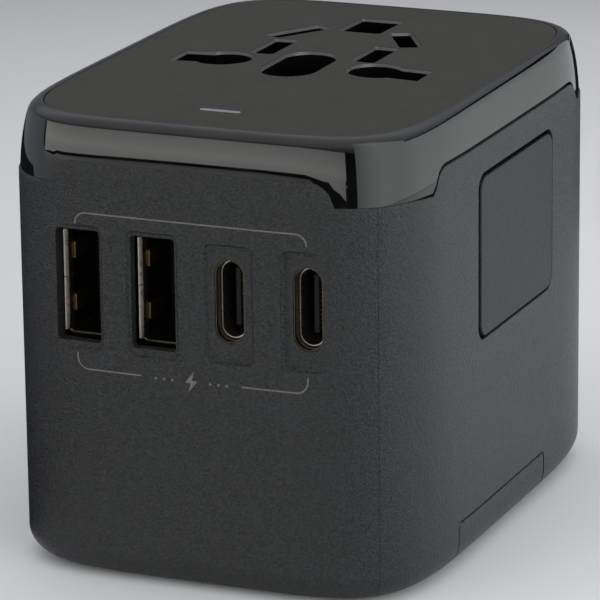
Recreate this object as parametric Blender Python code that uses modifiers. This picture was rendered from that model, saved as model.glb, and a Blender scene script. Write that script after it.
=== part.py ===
"""Universal travel adapter with slide-out UK, EU and US/AU plugs and a four-port USB charger.

Frame: origin at the centre of the base, +X to the right, +Y to the back, +Z up.
All dimensions below are in millimetres; meshes are scaled to metres when they are made.
"""

import math

import bmesh
import bpy
from mathutils import Matrix, Vector

MM = 0.001
GAP = 0.3                      # clearance between neighbouring pieces

# ---------------------------------------------------------------- driving dimensions
HALF_WIDTH = 25.5
HALF_DEPTH = 34.25
CORNER_POWER = 5.5             # exponent of the rounded-square plan
PLAN_COLUMNS = 64
RIM_HEIGHT = 53.4              # where the rim meets the top plate
CROWN = 0.8                    # rise of the top plate above the rim
WALL = 1.5

FILLET_HEIGHT = 3.6            # bottom edge rounding
FILLET_INSET = 3.9
RIM_CURVE_HEIGHT = 7.8         # the side leans in over this height below the rim
RIM_CURVE_INSET = 1.4
RIM_CURVE_POWER = 1.4
PLATE_INSET = 2.5              # glossy rim ends here and the top plate begins

BAND_MIDDLE = 48.7             # lower edge of the glossy band along the faces
BAND_CORNER = 46.0             # and round the corners
BAND_STEP_X = 14.3             # the edge starts to drop here on the front and back
BAND_STEP_Y = 20.4             # and here on the sides

SEAM_X = 21.5                  # vertical seam between the front fascia and the rear shell
SEAM_Y = -20.0                 # under the base the fascia ends here
BASE_INSET = 5.2
BASE_THICKNESS = 2.0
PLATE_BOTTOM = 51.9

# Socket slots in the top plate
SOCKET_LINE_Y = -2.4           # line through the live and neutral holes
EU_SPACING = 19.0
EU_HOLE_RADIUS = 3.2
UK_HOLE_END_X = 15.2
UK_HOLE_HALF_DEPTH = 2.25
US_SLOT_X = 6.35
US_SLOT_Y = 4.9
US_SLOT_SIZE = (2.5, 7.6)
AU_SLOT_X = 6.85
AU_SLOT_Y = 13.6
AU_SLOT_SIZE = (2.2, 7.6)
AU_SLOT_TILT = 30.0
EARTH_SLOT_Y = 19.5
EARTH_SLOT_SIZE = (4.9, 7.6)
OVAL_SIZE = (6.2, 12.3)
LIGHT_BAR_Y = -25.1
LIGHT_BAR_SIZE = (5.0, 0.4)

# USB ports, turned upright, in the front face
PORT_PITCH = 9.253
PORT_Z = 34.3
USB_A_WINDOW = (5.3, 12.9)
USB_A_SHELL = (5.7, 13.1)
USB_A_FRAME = (6.4, 14.6)
USB_A_WALL = 0.3
USB_A_LIP = 2.2                # the metal shell starts this far behind the front face
USB_A_TONGUE = (1.8, 11.0)
USB_C_WINDOW = (3.5, 9.54)
USB_C_SHELL = (3.2, 8.94)
USB_C_FRAME = (6.0, 13.8)
USB_C_WALL = 0.33
USB_C_TONGUE = (0.7, 6.7)
FRAME_DEPTH = 0.4
PORT_BACK_Y = -19.2

# Release button in the right side
BUTTON_Y = (-11.5, 13.2)
BUTTON_Z = (25.5, 45.0)
BUTTON_INSET = 0.15
BUTTON_FLANGE = 1.1
BUTTON_SPRING_Z = 39.4
BUTTON_SPRING_Y = (-6.0, 8.0)

# Fuse drawer at the lower right edge
DRAWER_Y = (-17.6, 10.7)
DRAWER_TOP = 5.9
DRAWER_INNER_X = 15.5
FUSE_RADIUS = 2.4
FUSE_LENGTH = 20.0

# Slide-out plugs: the stroke is how far the pins come out of the base
UK_STROKE = 22.5
EU_STROKE = 19.0
US_STROKE = 17.5
CARRIAGE_STOP_Z = 2.3          # underside of a carriage when its plug is fully out
UK_PIN_X = 11.1
UK_PIN_Y = -11.0
UK_EARTH_Y = UK_PIN_Y + 22.2
UK_RAIL_X = 15.0               # right end of the UK carriage, clear of the fuse drawer
UK_PIN_SIZE = (6.35, 4.0)
UK_EARTH_SIZE = (4.0, 8.0)
UK_EARTH_EXTRA = 4.9           # the earth pin is longer by this much
EU_PIN_RADIUS = 2.0
EU_PIN_Y = 0.0
US_BLADE_X = 6.35
US_BLADE_Y = 22.0
US_BLADE_SIZE = (1.5, 6.3)
US_ROTOR_RADIUS = 4.0
PIN_CLEARANCE = 0.3
LEVER_YS = {"uk": -11.0, "eu": 0.0, "us": 11.0}
LEVER_STROKES = {"uk": UK_STROKE, "eu": EU_STROKE, "us": US_STROKE}
LEVER_REST_Z = 36.0
LEVER_CAP = (8.4, 7.0)
TRACK_Y = 17.5                 # half width of the window behind the thumb levers
TRACK_Z = (8.5, 41.5)

# Inner structure
SCREW_X = 15.5
SCREW_Y = 23.5
CHASSIS_Z = (29.0, 30.5)
BLOCK_Z = (42.0, 50.0)
SHUTTER_Z = (50.4, 51.5)
SHUTTER_SPRING_X = 10.0

# ---------------------------------------------------------------- finishes
# colour, roughness, metallic
TEXTURED_BLACK = ((0.022, 0.023, 0.024), 0.6, 0.0)
GLOSS_BLACK = ((0.008, 0.008, 0.009), 0.08, 0.0)
MATTE_TOP = ((0.035, 0.034, 0.032), 0.55, 0.0)
INNER_BLACK = ((0.02, 0.02, 0.02), 0.5, 0.0)
INNER_GREY = ((0.25, 0.25, 0.26), 0.5, 0.0)
STEEL = ((0.62, 0.61, 0.6), 0.25, 1.0)
BRASS = ((0.75, 0.6, 0.33), 0.3, 1.0)
NICKEL = ((0.7, 0.69, 0.66), 0.2, 1.0)
BOARD_GREEN = ((0.02, 0.16, 0.06), 0.4, 0.0)
LIGHT_BAR = ((0.72, 0.74, 0.85), 0.2, 0.0)
FUSE_CERAMIC = ((0.85, 0.83, 0.78), 0.3, 0.0)
TAPE_YELLOW = ((0.75, 0.6, 0.1), 0.4, 0.0)
SLEEVE_BLUE = ((0.04, 0.08, 0.25), 0.35, 0.0)

PARTS = None
CUTTERS = None


# ---------------------------------------------------------------- scene and object helpers
def clear_scene():
    for item in list(bpy.data.objects):
        bpy.data.objects.remove(item, do_unlink=True)


def make_collection(name):
    collection = bpy.data.collections.new(name)
    bpy.context.scene.collection.children.link(collection)
    return collection


def make_material(name, finish):
    colour, roughness, metallic = finish
    material = bpy.data.materials.new(name)
    material.use_nodes = True
    shader = material.node_tree.nodes["Principled BSDF"]
    shader.inputs["Base Color"].default_value = (*colour, 1.0)
    shader.inputs["Roughness"].default_value = roughness
    shader.inputs["Metallic"].default_value = metallic
    return material


def object_from(bm, name, collection):
    bmesh.ops.recalc_face_normals(bm, faces=bm.faces)
    mesh = bpy.data.meshes.new(name)
    bmesh.ops.scale(bm, vec=(MM, MM, MM), verts=bm.verts)
    bm.to_mesh(mesh)
    bm.free()
    item = bpy.data.objects.new(name, mesh)
    collection.objects.link(item)
    return item


def make_part(name, bm, finish, smooth_angle=None):
    item = object_from(bm, name, PARTS)
    item.data.materials.append(make_material(name, finish))
    if smooth_angle is not None:
        item.data.shade_smooth()
        item.data.set_sharp_from_angle(angle=math.radians(smooth_angle))
    return item


def make_cutter(name, bm):
    item = object_from(bm, name, CUTTERS)
    item.hide_render = True
    item.display_type = "WIRE"
    return item


def combine(target, bm, operation, name):
    """Cut, add or intersect the target with a helper solid."""
    modifier = target.modifiers.new(name, "BOOLEAN")
    modifier.operation = operation
    modifier.solver = "EXACT"
    modifier.object = make_cutter(f"{target.name}_{name}", bm)


def cut(target, bm, name):
    combine(target, bm, "DIFFERENCE", name)


def add(target, bm, name):
    combine(target, bm, "UNION", name)


def bevel(target, width, segments=1):
    modifier = target.modifiers.new("edge_rounding", "BEVEL")
    modifier.width = width * MM
    modifier.segments = segments
    modifier.limit_method = "ANGLE"
    modifier.angle_limit = math.radians(40)


def make_joint(name, point):
    """An empty on the joint's axis that the moving pieces hang from."""
    empty = bpy.data.objects.new(name, None)
    empty.empty_display_size = 4 * MM
    empty.location = Vector(point) * MM
    PARTS.objects.link(empty)
    return empty


def hang(joint, *items):
    for item in items:
        item.parent = joint
        item.matrix_parent_inverse = Matrix.Translation(-joint.location)


# ---------------------------------------------------------------- solid helpers
def block(low, high):
    bm = bmesh.new()
    bmesh.ops.create_cube(bm, size=1.0)
    size = [b - a for a, b in zip(low, high)]
    middle = [(a + b) / 2 for a, b in zip(low, high)]
    bmesh.ops.scale(bm, vec=size, verts=bm.verts)
    bmesh.ops.translate(bm, vec=middle, verts=bm.verts)
    return bm


def rod(radius, start, end, segments=20, end_radius=None):
    """A cylinder or cone frustum from one point to another."""
    start = Vector(start)
    end = Vector(end)
    along = end - start
    bm = bmesh.new()
    bmesh.ops.create_cone(
        bm, cap_ends=True, segments=segments, radius1=radius,
        radius2=radius if end_radius is None else end_radius, depth=along.length)
    turn = Vector((0, 0, 1)).rotation_difference(along).to_matrix().to_4x4()
    bmesh.ops.transform(bm, matrix=Matrix.Translation((start + end) / 2) @ turn, verts=bm.verts)
    return bm


def prism(outline, low, high):
    """A flat outline in the XY plane, drawn out from low to high along Z."""
    bm = bmesh.new()
    face = bm.faces.new([bm.verts.new((x, y, low)) for x, y in outline])
    drawn = bmesh.ops.extrude_face_region(bm, geom=[face])
    moved = [v for v in drawn["geom"] if isinstance(v, bmesh.types.BMVert)]
    bmesh.ops.translate(bm, vec=(0, 0, high - low), verts=moved)
    return bm


def stand_up(bm):
    """Turn an XY outline drawn out along Z into an XZ outline drawn out along Y."""
    bmesh.ops.rotate(bm, cent=(0, 0, 0), matrix=Matrix.Rotation(math.radians(90), 3, "X"), verts=bm.verts)
    return bm


def loft(rows, closed=False):
    """Skin between outlines of equal point count; closed joins the last row to the first."""
    bm = bmesh.new()
    rings = [[bm.verts.new(point) for point in row] for row in rows]
    pairs = list(zip(rings, rings[1:]))
    if closed:
        pairs.append((rings[-1], rings[0]))
    for lower, upper in pairs:
        count = len(lower)
        for i in range(count):
            j = (i + 1) % count
            bm.faces.new((lower[i], lower[j], upper[j], upper[i]))
    bmesh.ops.triangulate(bm, faces=bm.faces)
    if not closed:
        bm.faces.new(list(reversed(rings[0])))
        bm.faces.new(rings[-1])
    return bm


def rounded_rectangle(width, height, radius, centre=(0.0, 0.0), steps=5):
    """Outline with quarter-circle corners, counter-clockwise."""
    points = []
    for quarter, (sx, sy) in enumerate(((1, 1), (-1, 1), (-1, -1), (1, -1))):
        for step in range(steps + 1):
            angle = math.radians(90 * (quarter + step / steps))
            points.append((
                centre[0] + sx * (width / 2 - radius) + radius * math.cos(angle),
                centre[1] + sy * (height / 2 - radius) + radius * math.sin(angle)))
    return points


def turned(profile, point, axis="Z", segments=20):
    """A profile of (radius, height) pairs turned about an axis through the point."""
    bm = bmesh.new()
    verts = [bm.verts.new((radius, 0.0, height)) for radius, height in profile]
    edges = [bm.edges.new(pair) for pair in zip(verts, verts[1:])]
    bmesh.ops.spin(
        bm, geom=verts + edges, cent=(0, 0, 0), axis=(0, 0, 1), angle=2 * math.pi, steps=segments,
        use_merge=True)
    bmesh.ops.holes_fill(bm, edges=bm.edges, sides=0)
    if axis == "Y":
        lay_flat = Matrix.Rotation(math.radians(-90), 3, "X")
        bmesh.ops.rotate(bm, cent=(0, 0, 0), matrix=lay_flat, verts=bm.verts)
    bmesh.ops.translate(bm, vec=point, verts=bm.verts)
    return bm


def coil_spring(name, start, end, radius, wire, turns):
    """A helical spring of round wire between two points on its axis."""
    start = Vector(start)
    end = Vector(end)
    along = (end - start).normalized()
    side = along.orthogonal().normalized()
    up = along.cross(side)
    steps = 9
    count = turns * steps
    inner_start = start + along * wire
    inner_length = (end - start).length - 2 * wire
    curve = bpy.data.curves.new(name, "CURVE")
    curve.dimensions = "3D"
    curve.bevel_depth = wire * MM
    curve.bevel_resolution = 1
    curve.use_fill_caps = True
    spline = curve.splines.new("POLY")
    spline.points.add(count)
    for i in range(count + 1):
        angle = 2 * math.pi * i / steps
        spot = inner_start + along * (inner_length * i / count)
        spot += (side * math.cos(angle) + up * math.sin(angle)) * radius
        spline.points[i].co = (*(spot * MM), 1.0)
    item = bpy.data.objects.new(name, curve)
    PARTS.objects.link(item)
    curve.materials.append(make_material(name, STEEL))
    weld = item.modifiers.new("weld_caps", "WELD")
    weld.merge_threshold = 0.00001
    return item


# ---------------------------------------------------------------- outer form
def plan_point(angle, inset):
    """A point of the rounded-square plan, moved inwards by the inset."""
    c = math.cos(angle)
    s = math.sin(angle)
    power = 2 / CORNER_POWER
    x = (HALF_WIDTH - inset) * math.copysign(abs(c) ** power, c)
    y = (HALF_DEPTH - inset) * math.copysign(abs(s) ** power, s)
    return x, y


def plan_angles():
    return [2 * math.pi * (i + 0.5) / PLAN_COLUMNS for i in range(PLAN_COLUMNS)]


def side_inset(z):
    """How far the outer skin stands inside the widest plan at a height."""
    if z < FILLET_HEIGHT:
        drop = 1 - z / FILLET_HEIGHT
        return FILLET_INSET * (1 - math.sqrt(max(0.0, 1 - drop * drop)))
    start = RIM_HEIGHT - RIM_CURVE_HEIGHT
    if z > start:
        rise = min(1.0, (z - start) / RIM_CURVE_HEIGHT)
        lean = max(0.0, 1 - rise ** RIM_CURVE_POWER) ** (1 / RIM_CURVE_POWER)
        return RIM_CURVE_INSET * (1 - lean)
    return 0.0


def band_edge(x, y):
    """Height of the glossy band's wavy lower edge at a place on the outline."""
    drop = BAND_MIDDLE - BAND_CORNER
    along_x = min(max(abs(x) - BAND_STEP_X, 0.0) / drop, 1.0)
    along_y = min(max(abs(y) - BAND_STEP_Y, 0.0) / drop, 1.0)
    reach = min(along_x, along_y)
    return BAND_CORNER + drop * math.sqrt(1 - reach * reach)


def level_row(z, inset):
    return [(*plan_point(angle, inset), z) for angle in plan_angles()]


def band_row(inset, share, offset=0.0, follow_side=True):
    """A row between the band's lower edge (share 0) and the rim (share 1)."""
    row = []
    for angle in plan_angles():
        low = band_edge(*plan_point(angle, 0.0)) + offset
        z = low + (RIM_HEIGHT - low) * share
        depth = inset + (side_inset(z) if follow_side else 0.0)
        row.append((*plan_point(angle, depth), z))
    return row


def plate_height(inset):
    """Height of the crowned top plate at an inset from the plan's edge."""
    share = (HALF_WIDTH - inset) / (HALF_WIDTH - PLATE_INSET)
    return RIM_HEIGHT + CROWN * (1 - share * share)


def envelope(inset=0.0):
    """The whole outer form as one solid, below the rim."""
    heights = [0.0, 0.5, 1.5, FILLET_HEIGHT, RIM_HEIGHT - RIM_CURVE_HEIGHT]
    return loft([level_row(z, side_inset(z) + inset) for z in heights])


# ---------------------------------------------------------------- casing
def shell_ring():
    """Side wall of the casing, with a flat bottom rim that the base plate sits in."""
    outer = [level_row(z, side_inset(z)) for z in (0.0, 0.35, 1.4, FILLET_HEIGHT)]
    top_outer = band_row(0.0, 0.0, -GAP)
    top_inner = band_row(WALL, 0.0, -GAP)
    inner = [level_row(FILLET_HEIGHT + 0.6, WALL), level_row(1.6, BASE_INSET), level_row(0.0, BASE_INSET)]
    return loft(outer + [top_outer, top_inner] + inner, closed=True)


def port_centres():
    """X of each port and whether it is a USB-C port."""
    return [((i - 1.5) * PORT_PITCH, i >= 2) for i in range(4)]


def face_y(x):
    """Y of the front face at a distance from its middle."""
    return -HALF_DEPTH * (1 - (abs(x) / HALF_WIDTH) ** CORNER_POWER) ** (1 / CORNER_POWER)


def stadium(size, grow=0.0):
    width = size[0] + grow
    return rounded_rectangle(width, size[1] + grow, width / 2 - 0.01)


def upright_cutter(outline, x, front_y, back_y):
    bm = stand_up(prism(outline, -back_y, -front_y))
    bmesh.ops.translate(bm, vec=(x, 0, PORT_Z), verts=bm.verts)
    return bm


def build_front_fascia():
    fascia = make_part("front_fascia", shell_ring(), TEXTURED_BLACK, 30)
    half = block((-SEAM_X, -40, -5), (SEAM_X, SEAM_Y, 60))
    combine(fascia, half, "INTERSECT", "seam")
    for index, (x, is_c) in enumerate(port_centres()):
        frame = rounded_rectangle(*(USB_C_FRAME if is_c else USB_A_FRAME), 0.9, steps=3)
        cut(fascia, upright_cutter(frame, x, -40, face_y(x) + FRAME_DEPTH), f"frame_{index}")
        if is_c:
            window = stadium(USB_C_WINDOW)
        else:
            window = rounded_rectangle(*USB_A_WINDOW, 0.4, steps=2)
        cut(fascia, upright_cutter(window, x, -40, -25), f"window_{index}")


def build_rear_shell():
    shell = make_part("rear_shell", shell_ring(), TEXTURED_BLACK, 30)
    cut(shell, block((-SEAM_X - GAP, -40, -5), (SEAM_X + GAP, SEAM_Y + GAP, 60)), "seam")
    hole = rounded_rectangle(
        BUTTON_Y[1] - BUTTON_Y[0], BUTTON_Z[1] - BUTTON_Z[0], 1.6,
        (sum(BUTTON_Y) / 2, sum(BUTTON_Z) / 2), steps=3)
    cut(shell, side_prism(hole, 18, 30), "button_hole")
    cut(shell, block((DRAWER_INNER_X - 2, DRAWER_Y[0], -5), (30, DRAWER_Y[1], DRAWER_TOP)), "drawer_notch")
    window = rounded_rectangle(
        2 * TRACK_Y, TRACK_Z[1] - TRACK_Z[0], 3.0, (0.0, sum(TRACK_Z) / 2), steps=4)
    cut(shell, side_prism(window, -30, -18), "track_window")


def side_prism(outline, low_x, high_x):
    """A YZ outline drawn out along X."""
    bm = prism(outline, low_x, high_x)
    turn = Matrix(((0, 0, 1), (1, 0, 0), (0, 1, 0)))
    bmesh.ops.transform(bm, matrix=turn.to_4x4(), verts=bm.verts)
    return bm


def build_gloss_bezel():
    """Glossy band with a ledge that carries the top plate."""
    outer = [band_row(0.0, share) for share in (0.0, 0.25, 0.5, 0.75, 0.92)]
    rim = [level_row(RIM_HEIGHT, side_inset(RIM_HEIGHT)), level_row(RIM_HEIGHT, PLATE_INSET)]
    ledge = [
        level_row(PLATE_BOTTOM - GAP, PLATE_INSET),
        level_row(PLATE_BOTTOM - GAP, PLATE_INSET + 1.8),
        level_row(PLATE_BOTTOM - 1.3, PLATE_INSET + 1.8),
        level_row(PLATE_BOTTOM - 2.6, WALL + 0.5)]
    bottom = [band_row(WALL, 0.0, follow_side=False)]
    make_part("gloss_bezel", loft(outer + rim + ledge + bottom, closed=True), GLOSS_BLACK, 50)


def keyhole_outline(side):
    """UK slot at the outer end running into the round EU hole; side is -1 left or +1 right."""
    centre = EU_SPACING / 2
    half = UK_HOLE_HALF_DEPTH
    meet = math.asin(half / EU_HOLE_RADIUS)
    points = [(UK_HOLE_END_X, -half), (UK_HOLE_END_X, half)]
    steps = 14
    for step in range(steps + 1):
        angle = meet + (2 * math.pi - 2 * meet) * step / steps
        points.append((centre + EU_HOLE_RADIUS * math.cos(angle), EU_HOLE_RADIUS * math.sin(angle)))
    if side < 0:
        points = [(-x, y) for x, y in reversed(points)]
    return [(x, y + SOCKET_LINE_Y) for x, y in points]


def turned_rectangle(size, centre, degrees):
    angle = math.radians(degrees)
    points = []
    for sx, sy in ((-1, -1), (1, -1), (1, 1), (-1, 1)):
        x = sx * size[0] / 2
        y = sy * size[1] / 2
        points.append((
            centre[0] + x * math.cos(angle) - y * math.sin(angle),
            centre[1] + x * math.sin(angle) + y * math.cos(angle)))
    return points


def socket_outlines():
    """Every opening of the top plate, by name."""
    outlines = {
        "earth": turned_rectangle(EARTH_SLOT_SIZE, (0, EARTH_SLOT_Y), 0),
        "oval": rounded_rectangle(*OVAL_SIZE, OVAL_SIZE[0] / 2 - 0.01, (0, SOCKET_LINE_Y - 0.2)),
        "light_bar": turned_rectangle(
            (LIGHT_BAR_SIZE[0] + 2 * GAP, LIGHT_BAR_SIZE[1] + 2 * GAP), (0, LIGHT_BAR_Y), 0)}
    for word, side in (("left", -1), ("right", 1)):
        outlines[f"keyhole_{word}"] = keyhole_outline(side)
        outlines[f"us_{word}"] = turned_rectangle(US_SLOT_SIZE, (side * US_SLOT_X, US_SLOT_Y), 0)
        outlines[f"au_{word}"] = turned_rectangle(
            AU_SLOT_SIZE, (side * AU_SLOT_X, AU_SLOT_Y), side * AU_SLOT_TILT)
    return outlines


def build_socket_plate():
    edge = PLATE_INSET + GAP
    rows = [level_row(PLATE_BOTTOM, edge)]
    rows += [level_row(plate_height(inset), inset) for inset in (edge, 5.5, 9.0, 14.0)]
    plate = make_part("socket_plate", loft(rows), MATTE_TOP, 30)
    for name, outline in socket_outlines().items():
        cut(plate, prism(outline, 48, 58), name)


def build_base_plate():
    inset = BASE_INSET + GAP
    rows = [level_row(0.0, inset), level_row(BASE_THICKNESS, inset)]
    base = make_part("base_plate", loft(rows), TEXTURED_BLACK, 30)
    notch = block((DRAWER_INNER_X - GAP, DRAWER_Y[0] - GAP, -5), (30, DRAWER_Y[1] + GAP, 9))
    cut(base, notch, "drawer_notch")
    grow = 2 * PIN_CLEARANCE
    pin_hole = (UK_PIN_SIZE[0] + grow, UK_PIN_SIZE[1] + grow)
    earth_hole = (UK_EARTH_SIZE[0] + grow, UK_EARTH_SIZE[1] + grow)
    for word, side in (("left", -1), ("right", 1)):
        cut(base, prism(turned_rectangle(pin_hole, (side * UK_PIN_X, UK_PIN_Y), 0), -5, 9), f"uk_{word}")
        eu_centre = (side * EU_SPACING / 2, EU_PIN_Y)
        cut(base, rod(EU_PIN_RADIUS + PIN_CLEARANCE, (*eu_centre, -5), (*eu_centre, 9)), f"eu_{word}")
        us_centre = (side * US_BLADE_X, US_BLADE_Y)
        cut(base, rod(US_ROTOR_RADIUS + PIN_CLEARANCE, (*us_centre, -5), (*us_centre, 9), 24), f"us_{word}")
    cut(base, prism(turned_rectangle(earth_hole, (0, UK_EARTH_Y), 0), -5, 9), "uk_earth")
    for index, (x, y) in enumerate(screw_places()):
        cut(base, rod(2.2, (x, y, -5), (x, y, 1.1), 16), f"screw_head_{index}")
        cut(base, rod(1.3, (x, y, -5), (x, y, 9), 12), f"screw_hole_{index}")


def screw_places():
    return [(sx * SCREW_X, sy * SCREW_Y) for sy in (-1, 1) for sx in (-1, 1)]


def build_screws():
    names = ("front_left", "front_right", "back_left", "back_right")
    for word, (x, y) in zip(names, screw_places()):
        profile = [(1.7, 0.25), (1.8, 0.4), (1.8, 0.8), (0.9, 0.8), (0.9, 8.0), (0.4, 9.0)]
        screw = make_part(f"base_screw_{word}", turned(profile, (x, y, 0), segments=14), STEEL, 40)
        cut(screw, block((x - 1.1, y - 0.22, 0), (x + 1.1, y + 0.22, 0.55)), "driver_slot_x")
        cut(screw, block((x - 0.22, y - 1.1, 0), (x + 0.22, y + 1.1, 0.55)), "driver_slot_y")


def build_track_plate():
    """Recessed plate with a slot for each thumb lever."""
    low = (-23.6, -TRACK_Y - 0.8, TRACK_Z[0] - 0.8)
    high = (-22.7, TRACK_Y + 0.8, TRACK_Z[1] + 0.8)
    plate = make_part("slider_track_plate", block(low, high), INNER_BLACK)
    for kind, y in LEVER_YS.items():
        top = LEVER_REST_Z + 2.2
        bottom = LEVER_REST_Z - LEVER_STROKES[kind] - 2.2
        slot = rounded_rectangle(3.4, top - bottom, 1.6, (y, (top + bottom) / 2), steps=3)
        cut(plate, side_prism(slot, -26, -20), f"{kind}_slot")


# ---------------------------------------------------------------- USB charger
def build_usb_a(word, x):
    front = face_y(x) + USB_A_LIP
    width, height = USB_A_SHELL
    outline = rounded_rectangle(width, height, 0.5, steps=2)
    shell = make_part(f"usb_a_shell_{word}", upright_cutter(outline, x, front, PORT_BACK_Y), STEEL, 30)
    hollow = rounded_rectangle(width - 2 * USB_A_WALL, height - 2 * USB_A_WALL, 0.3, steps=2)
    cut(shell, upright_cutter(hollow, x, front - 3, PORT_BACK_Y + 3), "hollow")
    tongue_width, tongue_height = USB_A_TONGUE
    tongue_outline = rounded_rectangle(tongue_width, tongue_height, 0.2, steps=1)
    tongue_x = x + 1.1
    make_part(
        f"usb_a_tongue_{word}", upright_cutter(tongue_outline, tongue_x, front + 0.8, PORT_BACK_Y),
        INNER_BLACK)


def build_usb_c(word, x):
    front = face_y(x) + FRAME_DEPTH + 0.45
    outline = stadium(USB_C_SHELL)
    shell = make_part(f"usb_c_shell_{word}", upright_cutter(outline, x, front, PORT_BACK_Y), STEEL, 30)
    hollow = stadium(USB_C_SHELL, -2 * USB_C_WALL)
    cut(shell, upright_cutter(hollow, x, front - 3, PORT_BACK_Y + 3), "hollow")
    tongue_outline = rounded_rectangle(*USB_C_TONGUE, 0.2, steps=1)
    make_part(
        f"usb_c_tongue_{word}", upright_cutter(tongue_outline, x, front + 0.9, PORT_BACK_Y), INNER_BLACK)


def build_usb_charger():
    words = ("left", "right", "left", "right")
    for word, (x, is_c) in zip(words, port_centres()):
        if is_c:
            build_usb_c(word, x)
        else:
            build_usb_a(word, x)
    board_front = PORT_BACK_Y + GAP
    make_part("usb_board", block((-19, board_front, 22.0), (19, board_front + 1.2, 44.5)), BOARD_GREEN)
    bracket = make_part("usb_bracket", block((-18, -30, 20.0), (18, -17.2, 21.6)), INNER_BLACK)
    for word, side in (("left", -1), ("right", 1)):
        x = side * SCREW_X
        add(bracket, rod(2.6, (x, -SCREW_Y, BASE_THICKNESS + GAP), (x, -SCREW_Y, 20.8), 16), f"leg_{word}")
        cut(bracket, rod(1.2, (x, -SCREW_Y, 0), (x, -SCREW_Y, 12), 12), f"bore_{word}")


def build_mains_board():
    top = 32.2
    make_part("mains_board", block((-19.0, -14, 31.0), (14.6, 28, top)), BOARD_GREEN)
    base = top + GAP
    transformer = make_part("transformer", block((-12, -4, base), (1, 8, 41.0)), TAPE_YELLOW)
    bevel(transformer, 0.6, 2)
    make_part("bulk_capacitor", turned(can_profile(4.0, 16), (8.5, -11, base + 4.1), "Y"), SLEEVE_BLUE, 40)
    make_part("output_capacitor", turned(can_profile(3.1, 8.2), (8.5, 17, base)), SLEEVE_BLUE, 40)
    suppressor = make_part("suppression_capacitor", block((-14, 14, base), (-4, 20, 40.8)), TAPE_YELLOW)
    bevel(suppressor, 0.5, 2)


def can_profile(radius, length):
    return [(radius - 0.4, 0), (radius, 0.4), (radius, length - 0.4), (radius - 0.4, length)]


# ---------------------------------------------------------------- socket and safety parts
def build_contact_block():
    """Insulating block with open wells for the contacts, and arms that stop the shutter springs."""
    low, high = BLOCK_Z
    holder = make_part("contact_block", block((-18.5, -14, low), (18.5, 26.5, high)), INNER_BLACK)
    for word, side in (("left", -1), ("right", 1)):
        xs = sorted((side * 4.6, side * 16.2))
        cut(holder, block((xs[0], -6.2, low - 2), (xs[1], 17.6, high + 2)), f"well_{word}")
    cut(holder, block((-3.5, -9.2, low - 2), (3.5, 4.2, high + 2)), "oval_well")
    cut(holder, block((-3.2, 15, low - 2), (3.2, 24, high + 2)), "earth_well")
    for word, x in (("left", -SHUTTER_SPRING_X), ("right", SHUTTER_SPRING_X)):
        add(holder, block((x - 2.5, -28.5, 48.6), (x + 2.5, -13, high)), f"spring_arm_{word}")
        add(holder, block((x - 1.5, -28.5, 49.3), (x + 1.5, -27.2, 51.4)), f"spring_stop_{word}")


def build_contacts():
    leaf = 0.5
    low = 42.4
    top = 49.4
    for name, side in (("neutral_contact", -1), ("live_contact", 1)):
        xs = sorted((side * 7.0, side * 15.4))
        front = SOCKET_LINE_Y - 2.7
        back = SOCKET_LINE_Y + 2.2
        contact = make_part(name, block((xs[0], front, low), (xs[1], back + leaf, low + leaf)), BRASS)
        add(contact, block((xs[0], front, low), (xs[1], front + leaf, top)), "front_leaf")
        add(contact, block((xs[0], back, low), (xs[1], back + leaf, top)), "back_leaf")
    earth = make_part("earth_contact", block((-2.9, 15.3, low), (2.9, 23.7, low + leaf)), BRASS)
    for word, side in (("left", -1), ("right", 1)):
        xs = sorted((side * 2.4, side * 2.9))
        add(earth, block((xs[0], 15.3, low), (xs[1], 23.7, top)), f"{word}_leaf")


def build_shutter():
    """Sprung shutter whose two arms close the live and neutral holes."""
    low, high = SHUTTER_Z
    shutter = make_part("safety_shutter", block((-16.4, -13.4, low), (16.4, -9.8, high)), INNER_GREY)
    for word, side in (("left", -1), ("right", 1)):
        xs = sorted((side * 5.2, side * 16.4))
        add(shutter, block((xs[0], -12, low), (xs[1], 1.0, high)), f"{word}_arm")
    hang(make_joint("shutter_axis", (0, -11.6, low)), shutter)
    middle = (low + high) / 2
    for word, x in (("left", -SHUTTER_SPRING_X), ("right", SHUTTER_SPRING_X)):
        coil_spring(f"shutter_spring_{word}", (x, -26.9, middle), (x, -13.7, middle), 0.5, 0.12, 7)


def build_light():
    half = LIGHT_BAR_SIZE[0] / 2
    depth = LIGHT_BAR_SIZE[1] / 2
    low = (-half, LIGHT_BAR_Y - depth, 50.8)
    high = (half, LIGHT_BAR_Y + depth, plate_height(9.0))
    make_part("led_light_pipe", block(low, high), LIGHT_BAR)
    chip = make_part("led_board", block((-5, -26.2, 47.0), (5, -24.2, 48.2)), BOARD_GREEN)
    cut(chip, block((-5.5, -25.4, 47.9), (-3.2, -24.0, 49)), "notch")
    make_part("led_chip", block((-1.2, -25.9, 48.5), (1.2, -24.5, 49.2)), LIGHT_BAR)


# ---------------------------------------------------------------- chassis, button and drawer
def build_chassis():
    """Shelf over the plug carriages, with legs to the back screws and a wall for the button springs."""
    low, high = CHASSIS_Z
    chassis = make_part("inner_chassis", block((-20.0, -15.0, low), (16.4, 28.6, high)), INNER_BLACK)
    add(chassis, block((15.1, -10.0, low + 0.5), (16.4, 12.0, 41.6)), "spring_wall")
    for word, side in (("left", -1), ("right", 1)):
        x = side * SCREW_X
        y = SCREW_Y
        add(chassis, rod(2.5, (x, y, BASE_THICKNESS + GAP), (x, y, low + 0.7), 16), f"leg_{word}")
        cut(chassis, rod(1.2, (x, y, 0), (x, y, 12), 12), f"bore_{word}")


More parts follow.
